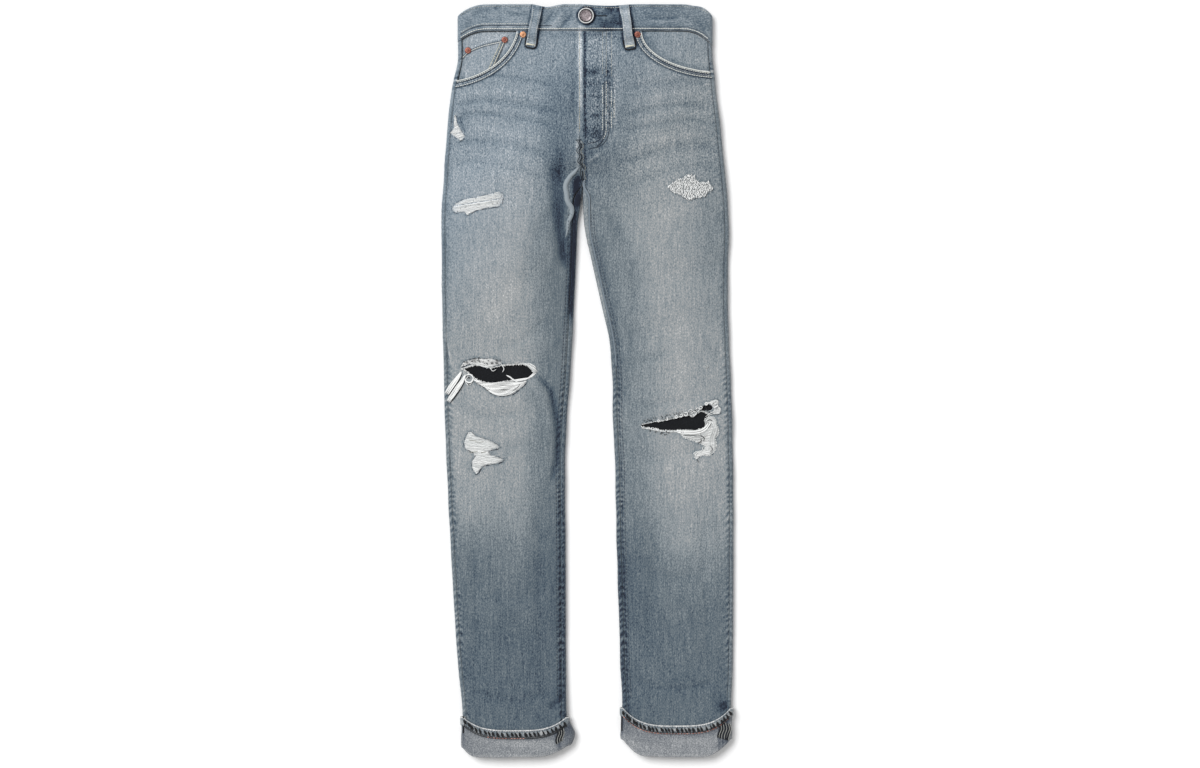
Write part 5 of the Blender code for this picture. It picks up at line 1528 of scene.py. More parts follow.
# %% Thread finishes
THREADS = {                # the tones of a thread at fade 0, 0.5 and 1
    "pale_thread": ((120, 120, 112), (196, 198, 192), (236, 236, 228)),
    "cream_thread": ((128, 120, 96), (196, 188, 160), (234, 230, 208)),
    "navy_thread": ((26, 32, 46), (48, 58, 76), (84, 96, 114)),
    "white_yarn": ((140, 146, 148), (206, 210, 210), (240, 241, 240)),
    "black_thread": ((12, 14, 18), (28, 32, 40), (58, 64, 76)),
    "red_thread": ((104, 56, 50), (172, 104, 90), (222, 172, 156)),
    "welt_thread": ((62, 74, 88), (116, 128, 138), (160, 168, 172)),
}
thread = {}
for name, tones in THREADS.items():
    made, tree, shader = finish(name, 0.9 if name == "white_yarn" else 0.8, sheen=0.2)
    fibre = grain(tree, (1500, 1500, 1500))
    total = swayed(tree, point_number(tree, "fade"), fibre, 0.5)
    feed(tree, shader, {
        "Base Color": ramp(tree, total, zip((0, 0.5, 1), tones)), "Normal": raised(tree, fibre, 0.5, 0.0003),
    })
    thread[name.split("_")[0]] = made
print("thread finishes:", len(thread))

# %% [markdown]
# ## Stitching
# Each row is drawn where the seam needs it: two along each pocket mouth, one below the coin pocket's edge,
# the curved rows that hold the fly, and along the waistband, loops, hems, yokes and back pockets.


# %% Rows round the pockets
def on_waist(x, y):
    """A row's place on the cloth, once the waist has dropped."""
    x, y = np.broadcast_arrays(np.asarray(x, float), np.asarray(y, float))
    return together(x, y - waist_drop(x, y))


def pocket_row(half, offset):
    """A row that runs offset outside a pocket mouth, as far as the waist seam and the outer seam."""
    x, y = mouth_rim(half, offset, 60).T
    kept = (SIGN[half] * (x - read_off(f"{half}_out", y)) > 3.2) & (y < 498)
    return on_waist(x[kept], y[kept])


FRONTS, BAND, COIN = [f"front_{side}_cloth" for side in SIDES], ["waistband_cloth"], ["coin_pocket_cloth"]
rows = [pocket_row(side, offset) for side in SIDES for offset in (2.6, 8.6)]
sewing("stitches_pocket_mouths", rows, FRONTS, "pale", 1, radius=0.55, proud=0.2)
for side in SIDES:
    # a pale cord on the mouth's rolled rim, worn and partly a painted highlight; navy cords in the grooves
    # beside the rows, painted shade
    groove_shadows = [pocket_row(side, offset) for offset in (4.3, 7, 10.2)]
    cords(f"rim_pocket_{side}", [pocket_row(side, 0.7)], FRONTS, 0.62, "pale", 0.95)
    cords(f"groove_pocket_{side}", groove_shadows, FRONTS, (0.4, 0.26, 0.4), "navy", 0.15)
ends = zip(evenly(pocket_row("left", 3), 3.3), evenly(pocket_row("left", 8.6), 3.36))
puckers = [(a, (a + b) / 2, b) for a, b in ends if a[0] > 104]
sewing("puckers_pocket_left", puckers, FRONTS, "navy", 0.55, pitch=2.2, radius=0.5)
coin_line = np.array(((-181, 462), (-171, 470.5), (-151, 478.5), (-124, 484.5)))
coin_sides = []
for inset in (1.8, 6.4):
    y = np.array((489 - inset, 468, 440))
    coin_sides.append(together(coin_side_x(y) - inset, y))
coin_stitch = dict(radius=0.55, share=0.9, proud=0.2)
sewing("stitches_coin_pocket", [coin_line], COIN, "pale", 0.95, **coin_stitch)
# navy cords above and below the coin pocket's rows: painted shade in their grooves
cords("groove_coin_pocket", [coin_line - (0, 1.7), coin_line + (0, 1.6)], COIN, 0.34, "navy", 0.3)
sewing("stitches_coin_side", coin_sides, COIN, "cream", 0.95, **coin_stitch)
cords("groove_coin_side", [coin_sides[0] + (1.6, 0), coin_sides[0] - (1.6, 0)], COIN, 0.34, "navy", 0.3)


# %% Rows on the fly
def j_row(x, foot, radius):
    """A fly row: straight down at x, then a quarter turn to the centre seam."""
    a = np.linspace(0, math.pi / 2, 12)
    bend = together(x - radius + radius * np.cos(a), foot + radius - radius * np.sin(a) * 1.1)
    return np.vstack([on_waist(x, np.linspace(498, foot + radius + 2, 24)), bend,
                      [(x - radius - 6, foot - 4)]])


def between(row, low, high):
    """The part of a row between two heights."""
    return row[(row[:, 1] > low) & (row[:, 1] < high)]


FLY_TOP = 600                             # above every row
fly_rows = [j_row(*r) for r in ((19, 344, 17), (24.2, 338, 21), (31.6, 331, 26), (35.4, 328, 29))]
LOW_PARTS = (              # row, from, to
    (0, 388, 424), (1, 376, 430), (2, 384, 416), (0, 352, 392), (1, 340, 378), (2, 356, 385), (3, 368, 404),
)
upper_rows = [between(row, 428, FLY_TOP) for row in fly_rows[:3]]
lower_rows = [between(fly_rows[i], low, high) for i, low, high in LOW_PARTS]
edge_row = on_waist(-13.8, np.linspace(497, 352, 40))
sewing("stitches_fly", upper_rows, FRONTS[1:], "pale", 0.4, spread=0.3)
sewing("stitches_fly_low", lower_rows, FRONTS[1:], "pale", 0.95, spread=0.6, share=0.7, radius=0.6, proud=0.2)
sewing("stitches_fly_edge", [edge_row], FRONTS[1:], "cream", 0.45, spread=0.25)
# navy cords beside the fly's rows and at its foot: painted shade in the grooves
groove_shadows = [between(j_row(*r), 0, 430) for r in ((21.6, 341, 19), (28, 334, 23))]
groove_shadows += [((21, 348), (17.5, 340), (9.6, 333)), ((-19.5, 343), (-12, 343.4))]
cords("groove_fly", groove_shadows, FRONTS, (0.5, 0.55, 0.8, 0.7), "navy", 0.15)

# %% Welts, the rolled fold and the seams between the legs
y = np.linspace(304, 20, 130)
x, z = on_section(section("left", y), inner_seam("left", y))
welt = together(x, y, z + front_height(x, y) - 0.6)
tubes("welt_inseam_left", welt[None], np.interp(y, (200, 290), (1.4, 2.2))[None], "welt", 0.5)
FOLD_WAY = (
    (-14.5, 306), (-21, 298), (-28, 291), (-34, 279), (-32.5, 266), (-31, 256), (-25.5, 247), (-25.5, 238),
    (-30, 226),
    (-31, 216), (-34, 204),
)
FOLD_WIDTH = (0, 1.4), (0.1, 3.6), (0.25, 4.6), (0.45, 4.8), (0.6, 5), (0.75, 4.2), (0.9, 2.4), (1, 0.4)
fold = evenly(smooth_line(FOLD_WAY), 1)
wide = np.interp(np.linspace(0, 1, len(fold)), *zip(*FOLD_WIDTH))
level = np.convolve(np.pad(heights_on(FRONTS[:1], fold), 6, "edge"), np.ones(13) / 13, "valid")
tubes("rolled_fold", with_z(fold, level - wide * 0.55)[None], wide[None], "welt", 0.76)
CROTCH_WAY = (
    (-15, 342), (-11, 334), (-15, 327), (-10.5, 319), (-13.5, 312), (-8.5, 305), (-10, 296), (-7, 286),
)
wiggle = smooth_line(CROTCH_WAY)
cords("crotch_seam", [wiggle, wiggle + (-3.2, 1)], FRONTS, (0.9, 0.6), "black", 0.4, 0.1)
cords("crotch_edge", [wiggle + (3, 0)], FRONTS, 0.5, "pale", 0.1, 0)
rise = np.array(((-10.6, 338), (-10.2, 318), (-9, 296), (-6.6, 262)))
sewing("stitches_front_rise", [rise, rise + (2.6, 0)], FRONTS, "navy", 0.1, pitch=3.8)
y = np.linspace(238, -455, 120)
for side, tone, radius in (("right", 0.28, 0.5), ("left", 0.45, 0.42)):
    s, inner = section(side, y), inner_seam(side, y)
    rows = [together(on_section(s, inner - inset)[0], y) for inset in (2.6, 6.4)]
    sewing(f"stitches_inseam_{side}", rows, [f"front_{side}_cloth"], "navy", tone, pitch=4.4, radius=radius)

# %% Rows on the waistband and the belt loops
band_x = np.linspace(-184, 172, 160)
seam_stitch = dict(share=0.9, radius=0.62, proud=0.2)
sewing("stitches_waist_seam", [on_waist(band_x, 502.9)], BAND, "pale", 1, "waistband_denim", **seam_stitch)
# navy cords under the waist seam and beside the band's rows: painted shade in the grooves
groove_shadows = [on_waist(band_x, 500.9), on_waist(band_x[:60], 507.6), on_waist(band_x[110:], 505.4)]
cords("groove_waist_seam", groove_shadows, BAND, (0.45, 0.6, 0.3), "navy", 0.1)
sewing("stitches_waist_top", [on_waist(band_x, 534.9)], BAND, "pale", 0.4, "waistband_denim", spread=0.3)
second = on_waist(np.linspace(-183, -86, 60), 510)
sewing("stitches_waist_second", [second], BAND, "pale", 0.85, "waistband_denim")
loop_rows, tacks, outlines = [], [], []
LOOP_INSET, TACKS = 4.6, np.arange(27)
for side in SIDES:
    top, foot, along, aside = loop_axes(side)
    for w in (-LOOP_INSET, LOOP_INSET):
        edge, middle = aside * w, (foot + top) / 2
        loop_rows.append(np.array([foot + along * 3 + edge, middle + edge * 0.95, top - along * 2.5 + edge]))
    zigzag = along * (2.4 + 3 * (TACKS % 2 - 0.5))[:, None]
    tacks.append(foot + zigzag + aside * (TACKS - 13)[:, None] * 0.47)
    aside = aside * (LOOP_WIDTH / 2 + 1.1)
    corners = round_foot(foot + along * 2, aside, foot - along * 2.4, 0.6)
    outlines.append(smooth_line([foot + along * 12 - aside, *corners, foot + along * 14 + aside]))
loops = [f"belt_loop_front_{side}_cloth" for side in SIDES]
# thick black cords round each belt loop's foot: painted shadow
cords("loop_foot_shadow", outlines, FRONTS, 1.3, "black", 0.1, 0.3)
sewing("stitches_loops", loop_rows, loops, "pale", 0.5, "waistband_denim", pitch=3, radius=0.36)
sewing("stitches_loop_tacks", tacks, loops, "cream", 0.85, "waistband_denim", pitch=3, share=0.97,
       radius=0.55)

# %% Rows on the hems
hem_rows, hem_red = [], []
for side in SIDES:
    top = CUFFS[side]["top"]
    for offset, kept in ((-1.9, hem_rows), (-8.6, hem_rows), (-10.4, hem_red)):
        loop, *_ = leg_loop(side, np.array([[top + offset]] * 2), 3, 400)
        line = loop[0, loop[0, :, 2] > section(side, np.array(top))["floor"] + 9, :2]
        kept.append(line[np.argsort(line[:, 0])])
hems = [f"hem_{side}_cloth" for side in SIDES]
on_cuffs = hems + [f"cuff_{side}_cloth" for side in SIDES]
red_right, red_left = hem_red
sewing("stitches_hems", hem_rows, hems, "navy", 0.35, pitch=3.6, radius=0.4)
shade_rows = [red_right + (0, 0.4), red_left + (0, 0.4), red_right - (0, 1.4)]
cords("hem_shade", shade_rows, on_cuffs, 0.7, "black", 0.2, 0.25)
red_parts = [red_right[(red_right[:, 0] > -146) & (red_right[:, 0] < -88)] - (0, 1.2), red_left - (0, 1)]
sewing("stitches_hems_red", red_parts, on_cuffs, "red", 0.4, spread=0.5, pitch=4.2, radius=0.6, proud=0.4)
# black slanting dashes along each hem: painted shadows between the twists of the hem's roping
for side, row, pitch in (("right", hem_rows[0], 6.5), ("left", hem_rows[2], 5.9)):
    spots, t = evenly(row, pitch), np.linspace(0, 1, 5)
    each = len(spots), 1
    x = spots[:, :1] + rng.uniform(1.6, 4.2, each) * t + 1.1 * rng.uniform(-1, 1, each)
    xy = together(x, spots[:, 1:] - 1.4 - rng.uniform(5.6, 7.4, each) * t)
    radii = np.array((0.9, 1.9, 2.4, 2, 0.6)) * rng.uniform(0.75, 1.25, each)
    tubes(f"roping_shadow_{side}", with_z(xy, heights_on(hems, xy) + 0.5), radii, "black", 0)

# %% The seams' cut edges, bundled on the turned-up inside
bundles = {
    "right": [((x, -496 + 2 * k), (x + 2.2, -504), (x - 0.8, -513), (x + 1.6, -526 + 3 * k))
              for k, x in enumerate((-47, -43.6, -40.2))],
    "left": [((x, -487 - k), (x + 1.8, -498), (x - 1.6, -508), (x + 1.2 - k, -527 + 2.6 * k))
             for k, x in enumerate((185, 188.6, 192.6, 196.4, 199.4))],
}
bundles["right"].append(((-180, -480), (-179.8, -492), (-180.2, -506), (-178.6, -520)))
bundles["left"].append(((47, -477), (46.6, -486), (46.4, -498), (47.6, -510)))
for side, lines in bundles.items():
    xy = np.array([np.resize(evenly(line, 3)[:9], (9, 2)) for line in lines])
    z = heights_on([f"cuff_{side}_cloth"], xy) + 0.3
    tubes(f"seam_bundle_{side}", with_z(xy, z), 1.35, "black", rng.uniform(0, 0.5, len(xy)))
    tubes(f"seam_edge_{side}", with_z(xy + (2.1, 0), z + 0.3), 0.42, "pale", 0.3)

# %% Rows on the underside
UNDER = dict(up=True, proud=-0.2, radius=0.36, share=0.8)     # half sunk, so that the cloth lies flat
BACKS = [f"{kind}_{side}_cloth" for kind in ("back", "yoke") for side in SIDES]
WAY = np.array((-1, -1, 0, 1, 1))
CORNER_Y = np.array((POCKET_TOP, POCKET_CORNER, POCKET_POINT, POCKET_CORNER, POCKET_TOP))
CORNER_X = np.array((POCKET_HALF_TOP, POCKET_HALF_FOOT, 0, POCKET_HALF_FOOT, POCKET_HALF_TOP))


def spans(x, y):
    """The straight lines between corners."""
    corners = together(x, y)
    return [np.stack(pair) for pair in zip(corners[:-1], corners[1:])]


def yoke_row(side, offset):
    """A row beside the yoke's seam, from the outer side of the seat to its middle seam."""
    share = np.linspace(0, 1, 40)[:, None]
    y = YOKE_SIDE + (YOKE_CENTRE - YOKE_SIDE) * share + offset
    s = section(side, y)
    x, z = on_section(s, OUTSEAM_INSET - (OUTSEAM_INSET + s["under"]) * share)
    return np.concatenate([x, y], axis=-1)[(z[:, 0] < 4) & (share[:, 0] < 0.985)]


pocket_rows, pocket_edges = [], []
for centre in BACK_POCKETS.values():
    for inset in (2.2, 8.4):
        raised_by = (-2, inset, 1.06 * inset, inset, -2)
        pocket_rows += spans(centre + WAY * np.maximum(CORNER_X - inset, 0), CORNER_Y + raised_by)
    for down in (2.4, 13):
        narrower = down * (POCKET_HALF_TOP - POCKET_HALF_FOOT) / (POCKET_TOP - POCKET_CORNER)
        half_wide = POCKET_HALF_TOP - narrower - 1
        pocket_rows += spans((centre - half_wide, centre + half_wide), (POCKET_TOP - down,) * 2)
    pocket_edges += spans(centre + WAY * (CORNER_X + 0.6), CORNER_Y - 0.6 * (CORNER_Y < POCKET_TOP))
pockets = [f"back_pocket_{side}_cloth" for side in SIDES]
sewing("stitches_back_pockets", pocket_rows, pockets, "cream", 0.8, "back_denim", **UNDER)
cords("edge_back_pockets", pocket_edges, BACKS, 0.4, "navy", 0.2, 0.15, up=True)
seat_y = np.linspace(264, 497, 60)
seat_rows = [together(read_off("left_in", seat_y) + k, seat_y) for k in (2.4, 8.2)]
yoke_rows = [yoke_row(side, offset) for side in SIDES for offset in (2.4, 8.2)]
sewing("stitches_seat", yoke_rows + seat_rows, BACKS, "cream", 0.7, "back_denim", **UNDER)
seat_edges = [yoke_row(side, -0.2) for side in SIDES] + [seat_rows[0] - (2.6, 0)]
cords("edge_seat", seat_edges, BACKS, 0.4, "navy", 0.2, 0.15, up=True)
band_rows = [on_waist(np.linspace(-178, 166, 120), y) for y in (503, 534)]
sewing("stitches_waist_back", band_rows, BAND, "cream", 0.7, "waistband_denim", **UNDER)
loop_lines, i = [], np.arange(9)
for centre in BACK_LOOPS.values():
    loop_lines += [np.array(((centre + w, 480), (centre + w, 535))) for w in (-LOOP_INSET, LOOP_INSET)]
    tack_x = np.linspace(centre - 6, centre + 6, 9)
    loop_lines += [together(tack_x, y + 0.9 * (-1.0) ** i) for y in (480, 535)]
back_loops = [f"belt_loop_back_{name}_cloth" for name in BACK_LOOPS]
sewing("stitches_back_loops", loop_lines, back_loops, "cream", 0.85, "waistband_denim", **UNDER)

# %% [markdown]
# ## Torn and worn places
# Denim wears through from its blue warp first, so the white weft stays as loose yarns side by side. Each
# worn place is its outline crossed by yarns at one angle, a little wavy, tucked in at both ends. The torn
# knees have a fringe of cut ends round the hole, and a few long yarns that sag across it.


# %% Paths of yarns
def cloth_top(half, xy):
    """The height of the front's creased outer side above each (x, y)."""
    return front_surface(half, xy[..., 0], xy[..., 1]) + front_height(xy[..., 0], xy[..., 1])


def crossings(outline, turn, pitch, spill=0.6, lost=0):
    """Both ends of each yarn that crosses an outline: u along the yarn, levels of v one pitch apart."""
    c, s = math.cos(turn), math.sin(turn)
    axes = np.array(((c, s), (-s, c)))
    line = closed(outline) @ axes.T
    a, b = line[:-1], line[1:]
    ends = []
    for level in np.arange(line[:, 1].min() + pitch / 2, line[:, 1].max(), pitch):
        hit = (a[:, 1] - level) * (b[:, 1] - level) < 0
        u = np.sort(a[hit, 0] + (level - a[hit, 1]) / (b[hit, 1] - a[hit, 1]) * (b[hit, 0] - a[hit, 0]))
        for low, high in zip(u[::2], u[1::2]):
            if rng.random() >= lost:
                ends.append(((low - spill * rng.random(), level), (high + spill * rng.random(), level)))
    return np.array(ends) @ axes


def strands(half, ends, wave=0.35, lift=0.35, stations=9):
    """Paths between ends, wavy and lying on the cloth: z = cloth + lift, less at the tucked ends."""
    t = np.linspace(0, 1, stations)
    way = ends[:, 1] - ends[:, 0]
    long = np.maximum(np.linalg.norm(way, axis=1), 0.1)[:, None]
    aside = together(-way[:, 1], way[:, 0]) / long
    phase = rng.uniform(0, 6.3, (len(ends), 1))
    sway = wave * np.sin(long / 3 * t + phase)
    xy = ends[:, :1] + way[:, None] * t[:, None] + aside[:, None] * sway[..., None]
    tucked = np.abs(2 * t - 1) ** 6
    rise = lift * rng.uniform(0.6, 1.5, (len(ends), 1)) * (1 - tucked) - 0.25 * tucked
    return with_z(xy, cloth_top(half, xy) + rise + 0.12 * np.sin(long * t * 1.3 + phase))


def threads(half, lines, lift=1, stations=15):
    """Paths of loose threads through given points (x, y), standing off the cloth in the middle."""
    t = np.linspace(0, 1, stations)
    ways = [(way, so_far(way)) for way in map(smooth_line, lines)]
    xy = np.array([read_along(way, along, t * along[-1]) for way, along in ways])
    return with_z(xy, cloth_top(half, xy) + lift * (0.35 + 0.65 * np.sin(math.pi * t)))


def fringe(half, line, long, pitch=1.3, lean=0.4, lift=0.3):
    """Short cut ends along a line, pointing to its right, each bent a little to one side."""
    spots = evenly(line, pitch)
    each = len(spots), 1
    ahead = np.gradient(spots, axis=0)
    ahead /= np.linalg.norm(ahead, axis=1, keepdims=True)
    right = together(ahead[:, 1], -ahead[:, 0])
    reach = long * rng.uniform(0.45, 1.15, each)
    bent = ahead * lean * rng.uniform(-1, 1, each)
    t = np.array((-0.25, 0.2, 0.6, 1))[None, :, None]
    xy = spots[:, None] + (right[:, None] * t + bent[:, None] * t**2) * reach[:, None]
    rise = lift * np.array((0.2, 1, 0.6, -0.6)) * rng.uniform(0.6, 1.4, each)
    return with_z(xy, cloth_top(half, spots[:, None]) + rise)


def yarns(name, sets, radius, tone=0.72, spread=0.22, material="white", ends=0.5):
    """A piece of yarns from each set of paths, thinner at both ends."""
    for k, paths in enumerate(sets if isinstance(sets, list) else [sets]):
        count, stations = paths.shape[:2]
        taper = ends + (1 - ends) * (1 - np.abs(np.linspace(-1, 1, stations)) ** 4)
        thick = radius * rng.uniform(0.75, 1.2, (count, 1)) * taper
        tubes(f"{name}_{k}", paths, thick, material, tone + spread * rng.uniform(-1, 1, count))


def short_marks(half, spots, turn, half_long, wave, lift, stations):
    """Short yarns that lie across their spots, each turned its own way."""
    half_way = together(np.cos(turn), np.sin(turn)) * half_long
    return strands(half, np.stack([spots - half_way, spots + half_way], axis=1), wave, lift, stations)


# %% Yarns across worn places
# name; place, turn, pitch, share lost, wave, lift of each set; radius, tone, spread
CROSSED = (
    ("worn_hip_slash", (("hip_slash", 0.35, 1.15, 0, 0.35),), (0.62, 0.85)),
    ("worn_thigh_patch", (("thigh_patch", 0.15, 1.5, 0.06, 0.35),), (0.7, 0.88, 0.25)),
    ("torn_shin", (("shin_tear", -0.12, 1.15, 0.05, 0.5),), (0.66, 0.8)),
    ("worn_knee_lip", (("knee_lip", -0.04, 1.25, 0.06, 0.35),), (0.6, 0.9, 0.25)),
    ("worn_left_knee_flap", (("left_knee_flap", 0.12, 1.25, 0.05, 0.6),
     ("left_knee_top", 0.5, 1.3, 0.15, 0.5)),
     (0.64, 0.9, 0.25)),
)
for name, places, look in CROSSED:
    yarns(name, [
        strands(half_of(BARE[key]), crossings(BARE[key], turn, pitch, lost=lost), lift=lift)
        for key, turn, pitch, lost, lift in places
    ], *look)

# %% The dark edge round each worn place: cut blue warp, and painted shadow
EDGES = {                  # how rough it is, how thick it is
    "left_knee_flap": (0.9, 0.6), "left_knee_top": (1.1, 0.7), "thigh_patch": (0.3, 0.7),
    "hip_slash": (0.3, 0.7),
    "thigh_darn": (1, 0.5),
}
OTHER_EDGE = (0.35, 1)
SHADED = np.array((0.6, -0.8))            # the way that an edge faces where it is thickest
for key, outline in BARE.items():
    rough, weight = EDGES.get(key, OTHER_EDGE)
    line = closed(ragged(outline, rough))
    ahead = np.gradient(line, axis=0)
    facing = np.sign((line[:-1, 0] * line[1:, 1] - line[1:, 0] * line[:-1, 1]).sum())
    outward = facing * together(ahead[:, 1], -ahead[:, 0])
    outward = outward / np.maximum(np.linalg.norm(ahead, axis=1, keepdims=True), 1e-6)
    shade = np.clip(outward @ SHADED, 0, 1)
    line = line + outward * (0.4 + 0.5 * shade[:, None])
    i = np.arange(len(line))
    thick = weight * (0.34 + 0.5 * shade) * np.clip(0.6 + 0.9 * np.sin(i * 0.31) * np.sin(i * 0.83), 0.15,
        1.1)
    # navy yarn round each outline: partly the cut blue warp, thickened into painted shadow where the edge
    # faces the lower right, away from the sun
    tubes(f"edge_{key}", with_z(line, cloth_top(half_of(line), line) + 0.05)[None], thick[None], "navy", 0.12)

# %% The darned thigh
cells = np.stack(np.meshgrid(np.arange(108, 182, 2.1), np.arange(255, 297, 2.1)), axis=-1).reshape(-1, 2)
cells = cells + rng.uniform(-0.7, 0.7, cells.shape)
cells = cells[inside(np.array(BARE["thigh_darn"]), cells[:, 0], cells[:, 1])]
turn = rng.choice((1.1, 1.5, 1.9, 2.4), len(cells)) + rng.uniform(-0.35, 0.35, len(cells))
darn = short_marks("left", cells, turn, rng.uniform(1.1, 2, (len(cells), 1)), 0.2, 1.1, 5)
yarns("darn_thigh", darn, 0.78, 0.95, 0.3)

# %% The right knee
STRIPS = (                 # two long strips of cloth that hang from the rip's outer end
    ((-183, 12), (-187, 5), (-193, -3), (-199, -11), (-204, -19)),
    ((-177, 8), (-181, 0), (-187, -9), (-194, -19), (-202, -30)),
)
WEDGE = ((-96, 25.4), (-85, 24.8), (-77, 20.4), (-73.6, 12), (-79.5, 9.6), (-83, 15.6), (-90, 20.6))
HANG = ((-166.3, 2.1), (-160, -1.5), (-152, -3))
t = np.linspace(0, 1, 21)
sag = np.linspace(0.3, 13.6, 17)[:, None]
left_end = np.linspace((-161, -4.2), (-149, -8.8), 17)
right_end = np.linspace((-89, -1.6), (-97, -7.8), 17)
flap = left_end[:, None] + (right_end - left_end)[:, None] * t[:, None]
flap[..., 1] -= sag * np.sin(math.pi * t**0.9) + 0.5 * np.sin(t * 9 + sag)
flap = with_z(flap, cloth_top("right", flap) + 1.5 * np.sin(math.pi * t) + 0.25 * rng.uniform(-1, 1, (17, 1)))
strips = []
for base in STRIPS:
    for k in np.linspace(-2.7, 2.7, 6):
        fan, jitter = (0.4, 0.75, 1, 1.05, 0.85), rng.uniform(-0.5, 0.5, 5)
        strips.append([(x + 0.8 * k * f + w, y - 0.6 * k * f) for (x, y), f, w in zip(base, fan, jitter)])
yarns("torn_flap", flap, 0.62, 1, 0.2)
yarns("torn_strips", threads("right", strips, 3), 0.8, 1.1, 0.1)
folds = (
    ((-147, -14.5), (-144, -13), (-141, -12.5)), ((-160, -4), (-152, -9), (-145, -15)),
    ((-142, -5), (-120, -7), (-100, -5)), ((-136, -12), (-118, -13.4), (-106, -11)),
    ((-98, -4), (-104, -11), (-112, -17)),
)
yarns("shade_flap", threads("right", folds, 1.9), 0.36, 0.5, 0.1, "black")
rings = (((-177, 7), (-171, 9), (-166, 5), (-167, -1), (-172, -3), (-177, 0), (-177.4, 6)), HANG)
yarns("torn_ring", threads("right", rings, 1.4), 1.3, 1, 0.1)
hollows = (((-174, 3.6), (-172, 4.4), (-170.6, 3)), ((-174, -5.4), (-172, -5.8), (-170.4, -5)))
yarns("shade_ring", threads("right", hollows, 0.9), 1, 0.2, 0.1, "black")
hook = (((-173, 6), (-177, 0), (-174, -6), (-169, -5), (-168, 1)), HANG, ((-164, 4), (-160, 0), (-154, -1)))
twist = [
    ((-118.5, 7.8), (-113, 5.4), (-110, 2.8), (-106, 0.6), (-102.4, -1.7)),
    ((-118.1, 7.2), (-113, 4.8), (-110, 2.2), (-106, 0), (-102.4, -2.3)),
    ((-117.8, 6.6), (-113, 4.2), (-110, 1.6), (-106, -0.6), (-102.4, -2.9)),
    ((-126, 24), (-122, 17), (-124, 12)), ((-142, 19), (-138, 13.5), (-133, 16)),
]
fan = [
    ((-76 - k, 10.5), (-84 - k, 4.6 - 0.4 * k), (-94, 2.8 - 0.5 * k), (-106, 1.2 - 0.6 * k)) for k in range(5)
]
rim = RIPS["right"]
yarns("torn_right_knee", [
    strands("right", crossings(WEDGE, -0.7, 1.1), 0.3, 0.8),
    threads("right", hook), threads("right", twist), threads("right", fan, 0.7),
    fringe("right", smooth_line(rim[:9]), 2.6), fringe("right", smooth_line((*rim[8:], rim[0])), 2.2),
], 0.64, 0.88, 0.25)

# %% The left knee
rim, steps = RIPS["left"], np.linspace(0, 7, 6)
loose = (
    ((143.6, -46), (147, -43.6), (151, -46), (150, -51), (145, -51.5), (143.4, -47)),
    ((169.8, -47.8), (178, -45), (187.8, -43.6)), ((168, -50), (178, -47.6), (187, -47)),
    ((166, -52), (172, -47), (180, -43)), ((158, -100), (152, -106), (154.5, -114)),
    ((163, -94), (160, -101), (152, -104)),
)
lower = [
    ((126 + k, -72.4 - 0.7 * k), (142, -73 - 1.2 * k), (157, -72.4 - 1.5 * k), (167, -67 - 1.5 * k),
     (174, -56 - k)) for k in steps
]
outer = [
    ((178 - k, -56), (183 - k, -69), (178.6 - k, -83), (179.6 - 1.3 * k, -97),
     (170 - 1.2 * k, -106 + 0.6 * k)) for k in steps
]
yarns("torn_left_knee", [
    fringe("left", smooth_line(rim[2:8]), 1.8), fringe("left", smooth_line(rim[7:12]), 2.2),
    fringe("left", smooth_line(rim[12:]) - (0, 2), 3.4, 0.8, 0.9, 0.7),
    fringe("left", smooth_line(rim[:3])[::-1], 1.6),
    fringe("left", BARE["left_knee_flap"][::-1], 1.9, 1.2, 0.9),
    fringe("left", BARE["left_knee_top"], 2.4, 1.2, 1.2),
    threads("left", loose, 1.4), threads("left", lower, 1.6), threads("left", outer, 1.3),
], 0.62, 0.72, 0.3)
CURL = np.array(((0, 0), (1.5, 1.1), (2.4, -0.2), (1.1, -1.3), (0.1, -0.1)))
CURLS = (                  # x, y, size
    (122, -52, 1.6), (129, -50, 1.8), (135, -47.6, 2.4), (141, -44, 2.8), (147, -46.6, 2.6),
    (152, -41.4, 2.2),
    (157, -38.6, 1.8), (165, -33, 1.7), (173, -31, 1.7), (179, -30.6, 1.6), (97, -57.4, 1.4),
    (109, -55, 1.5),
)
yarns("torn_left_curls", threads("left", [(x, y) + size * CURL for x, y, size in CURLS], 1.2), 0.78, 0.95,
      0.2)
lip = (
    ((124, -72), (140, -72.8), (156, -72), (166, -67), (171, -58)),
    ((126, -74.4), (140, -75.4), (157, -74.6), (168, -69), (174, -60)),
)
yarns("torn_left_lip", threads("left", lip, 1.8), 1.3, 1.15, 0)
shade = (
    ((134, -78.2), (146, -78.6), (157, -77.4)), ((150, -80), (158, -79), (164, -82), (163, -88)),
    ((166, -72), (171, -66), (175, -60)), ((172, -92), (176, -98), (172, -103)),
    ((168, -58), (172, -56), (176, -58)),
    ((156, -90), (160, -86), (158, -82)), ((153.6, -112), (156, -117)),
)
yarns("shade_left_flap", threads("left", shade, 2), 0.5, 0.5, 0.3, "black")
SNAG = np.array(((165.4, 22.6), (168.6, 21.4), (169.2, 18.8), (166.2, 18.6), (165, 20.8)))
drift = np.array(((0.9, 0), (0.9, 0), (0.36, 0), (0.9, 0), (0.9, 0)))
yarns("snag_left_knee", threads("left", [SNAG, SNAG + drift], 0.9), 0.5, 0.3, 0.1)

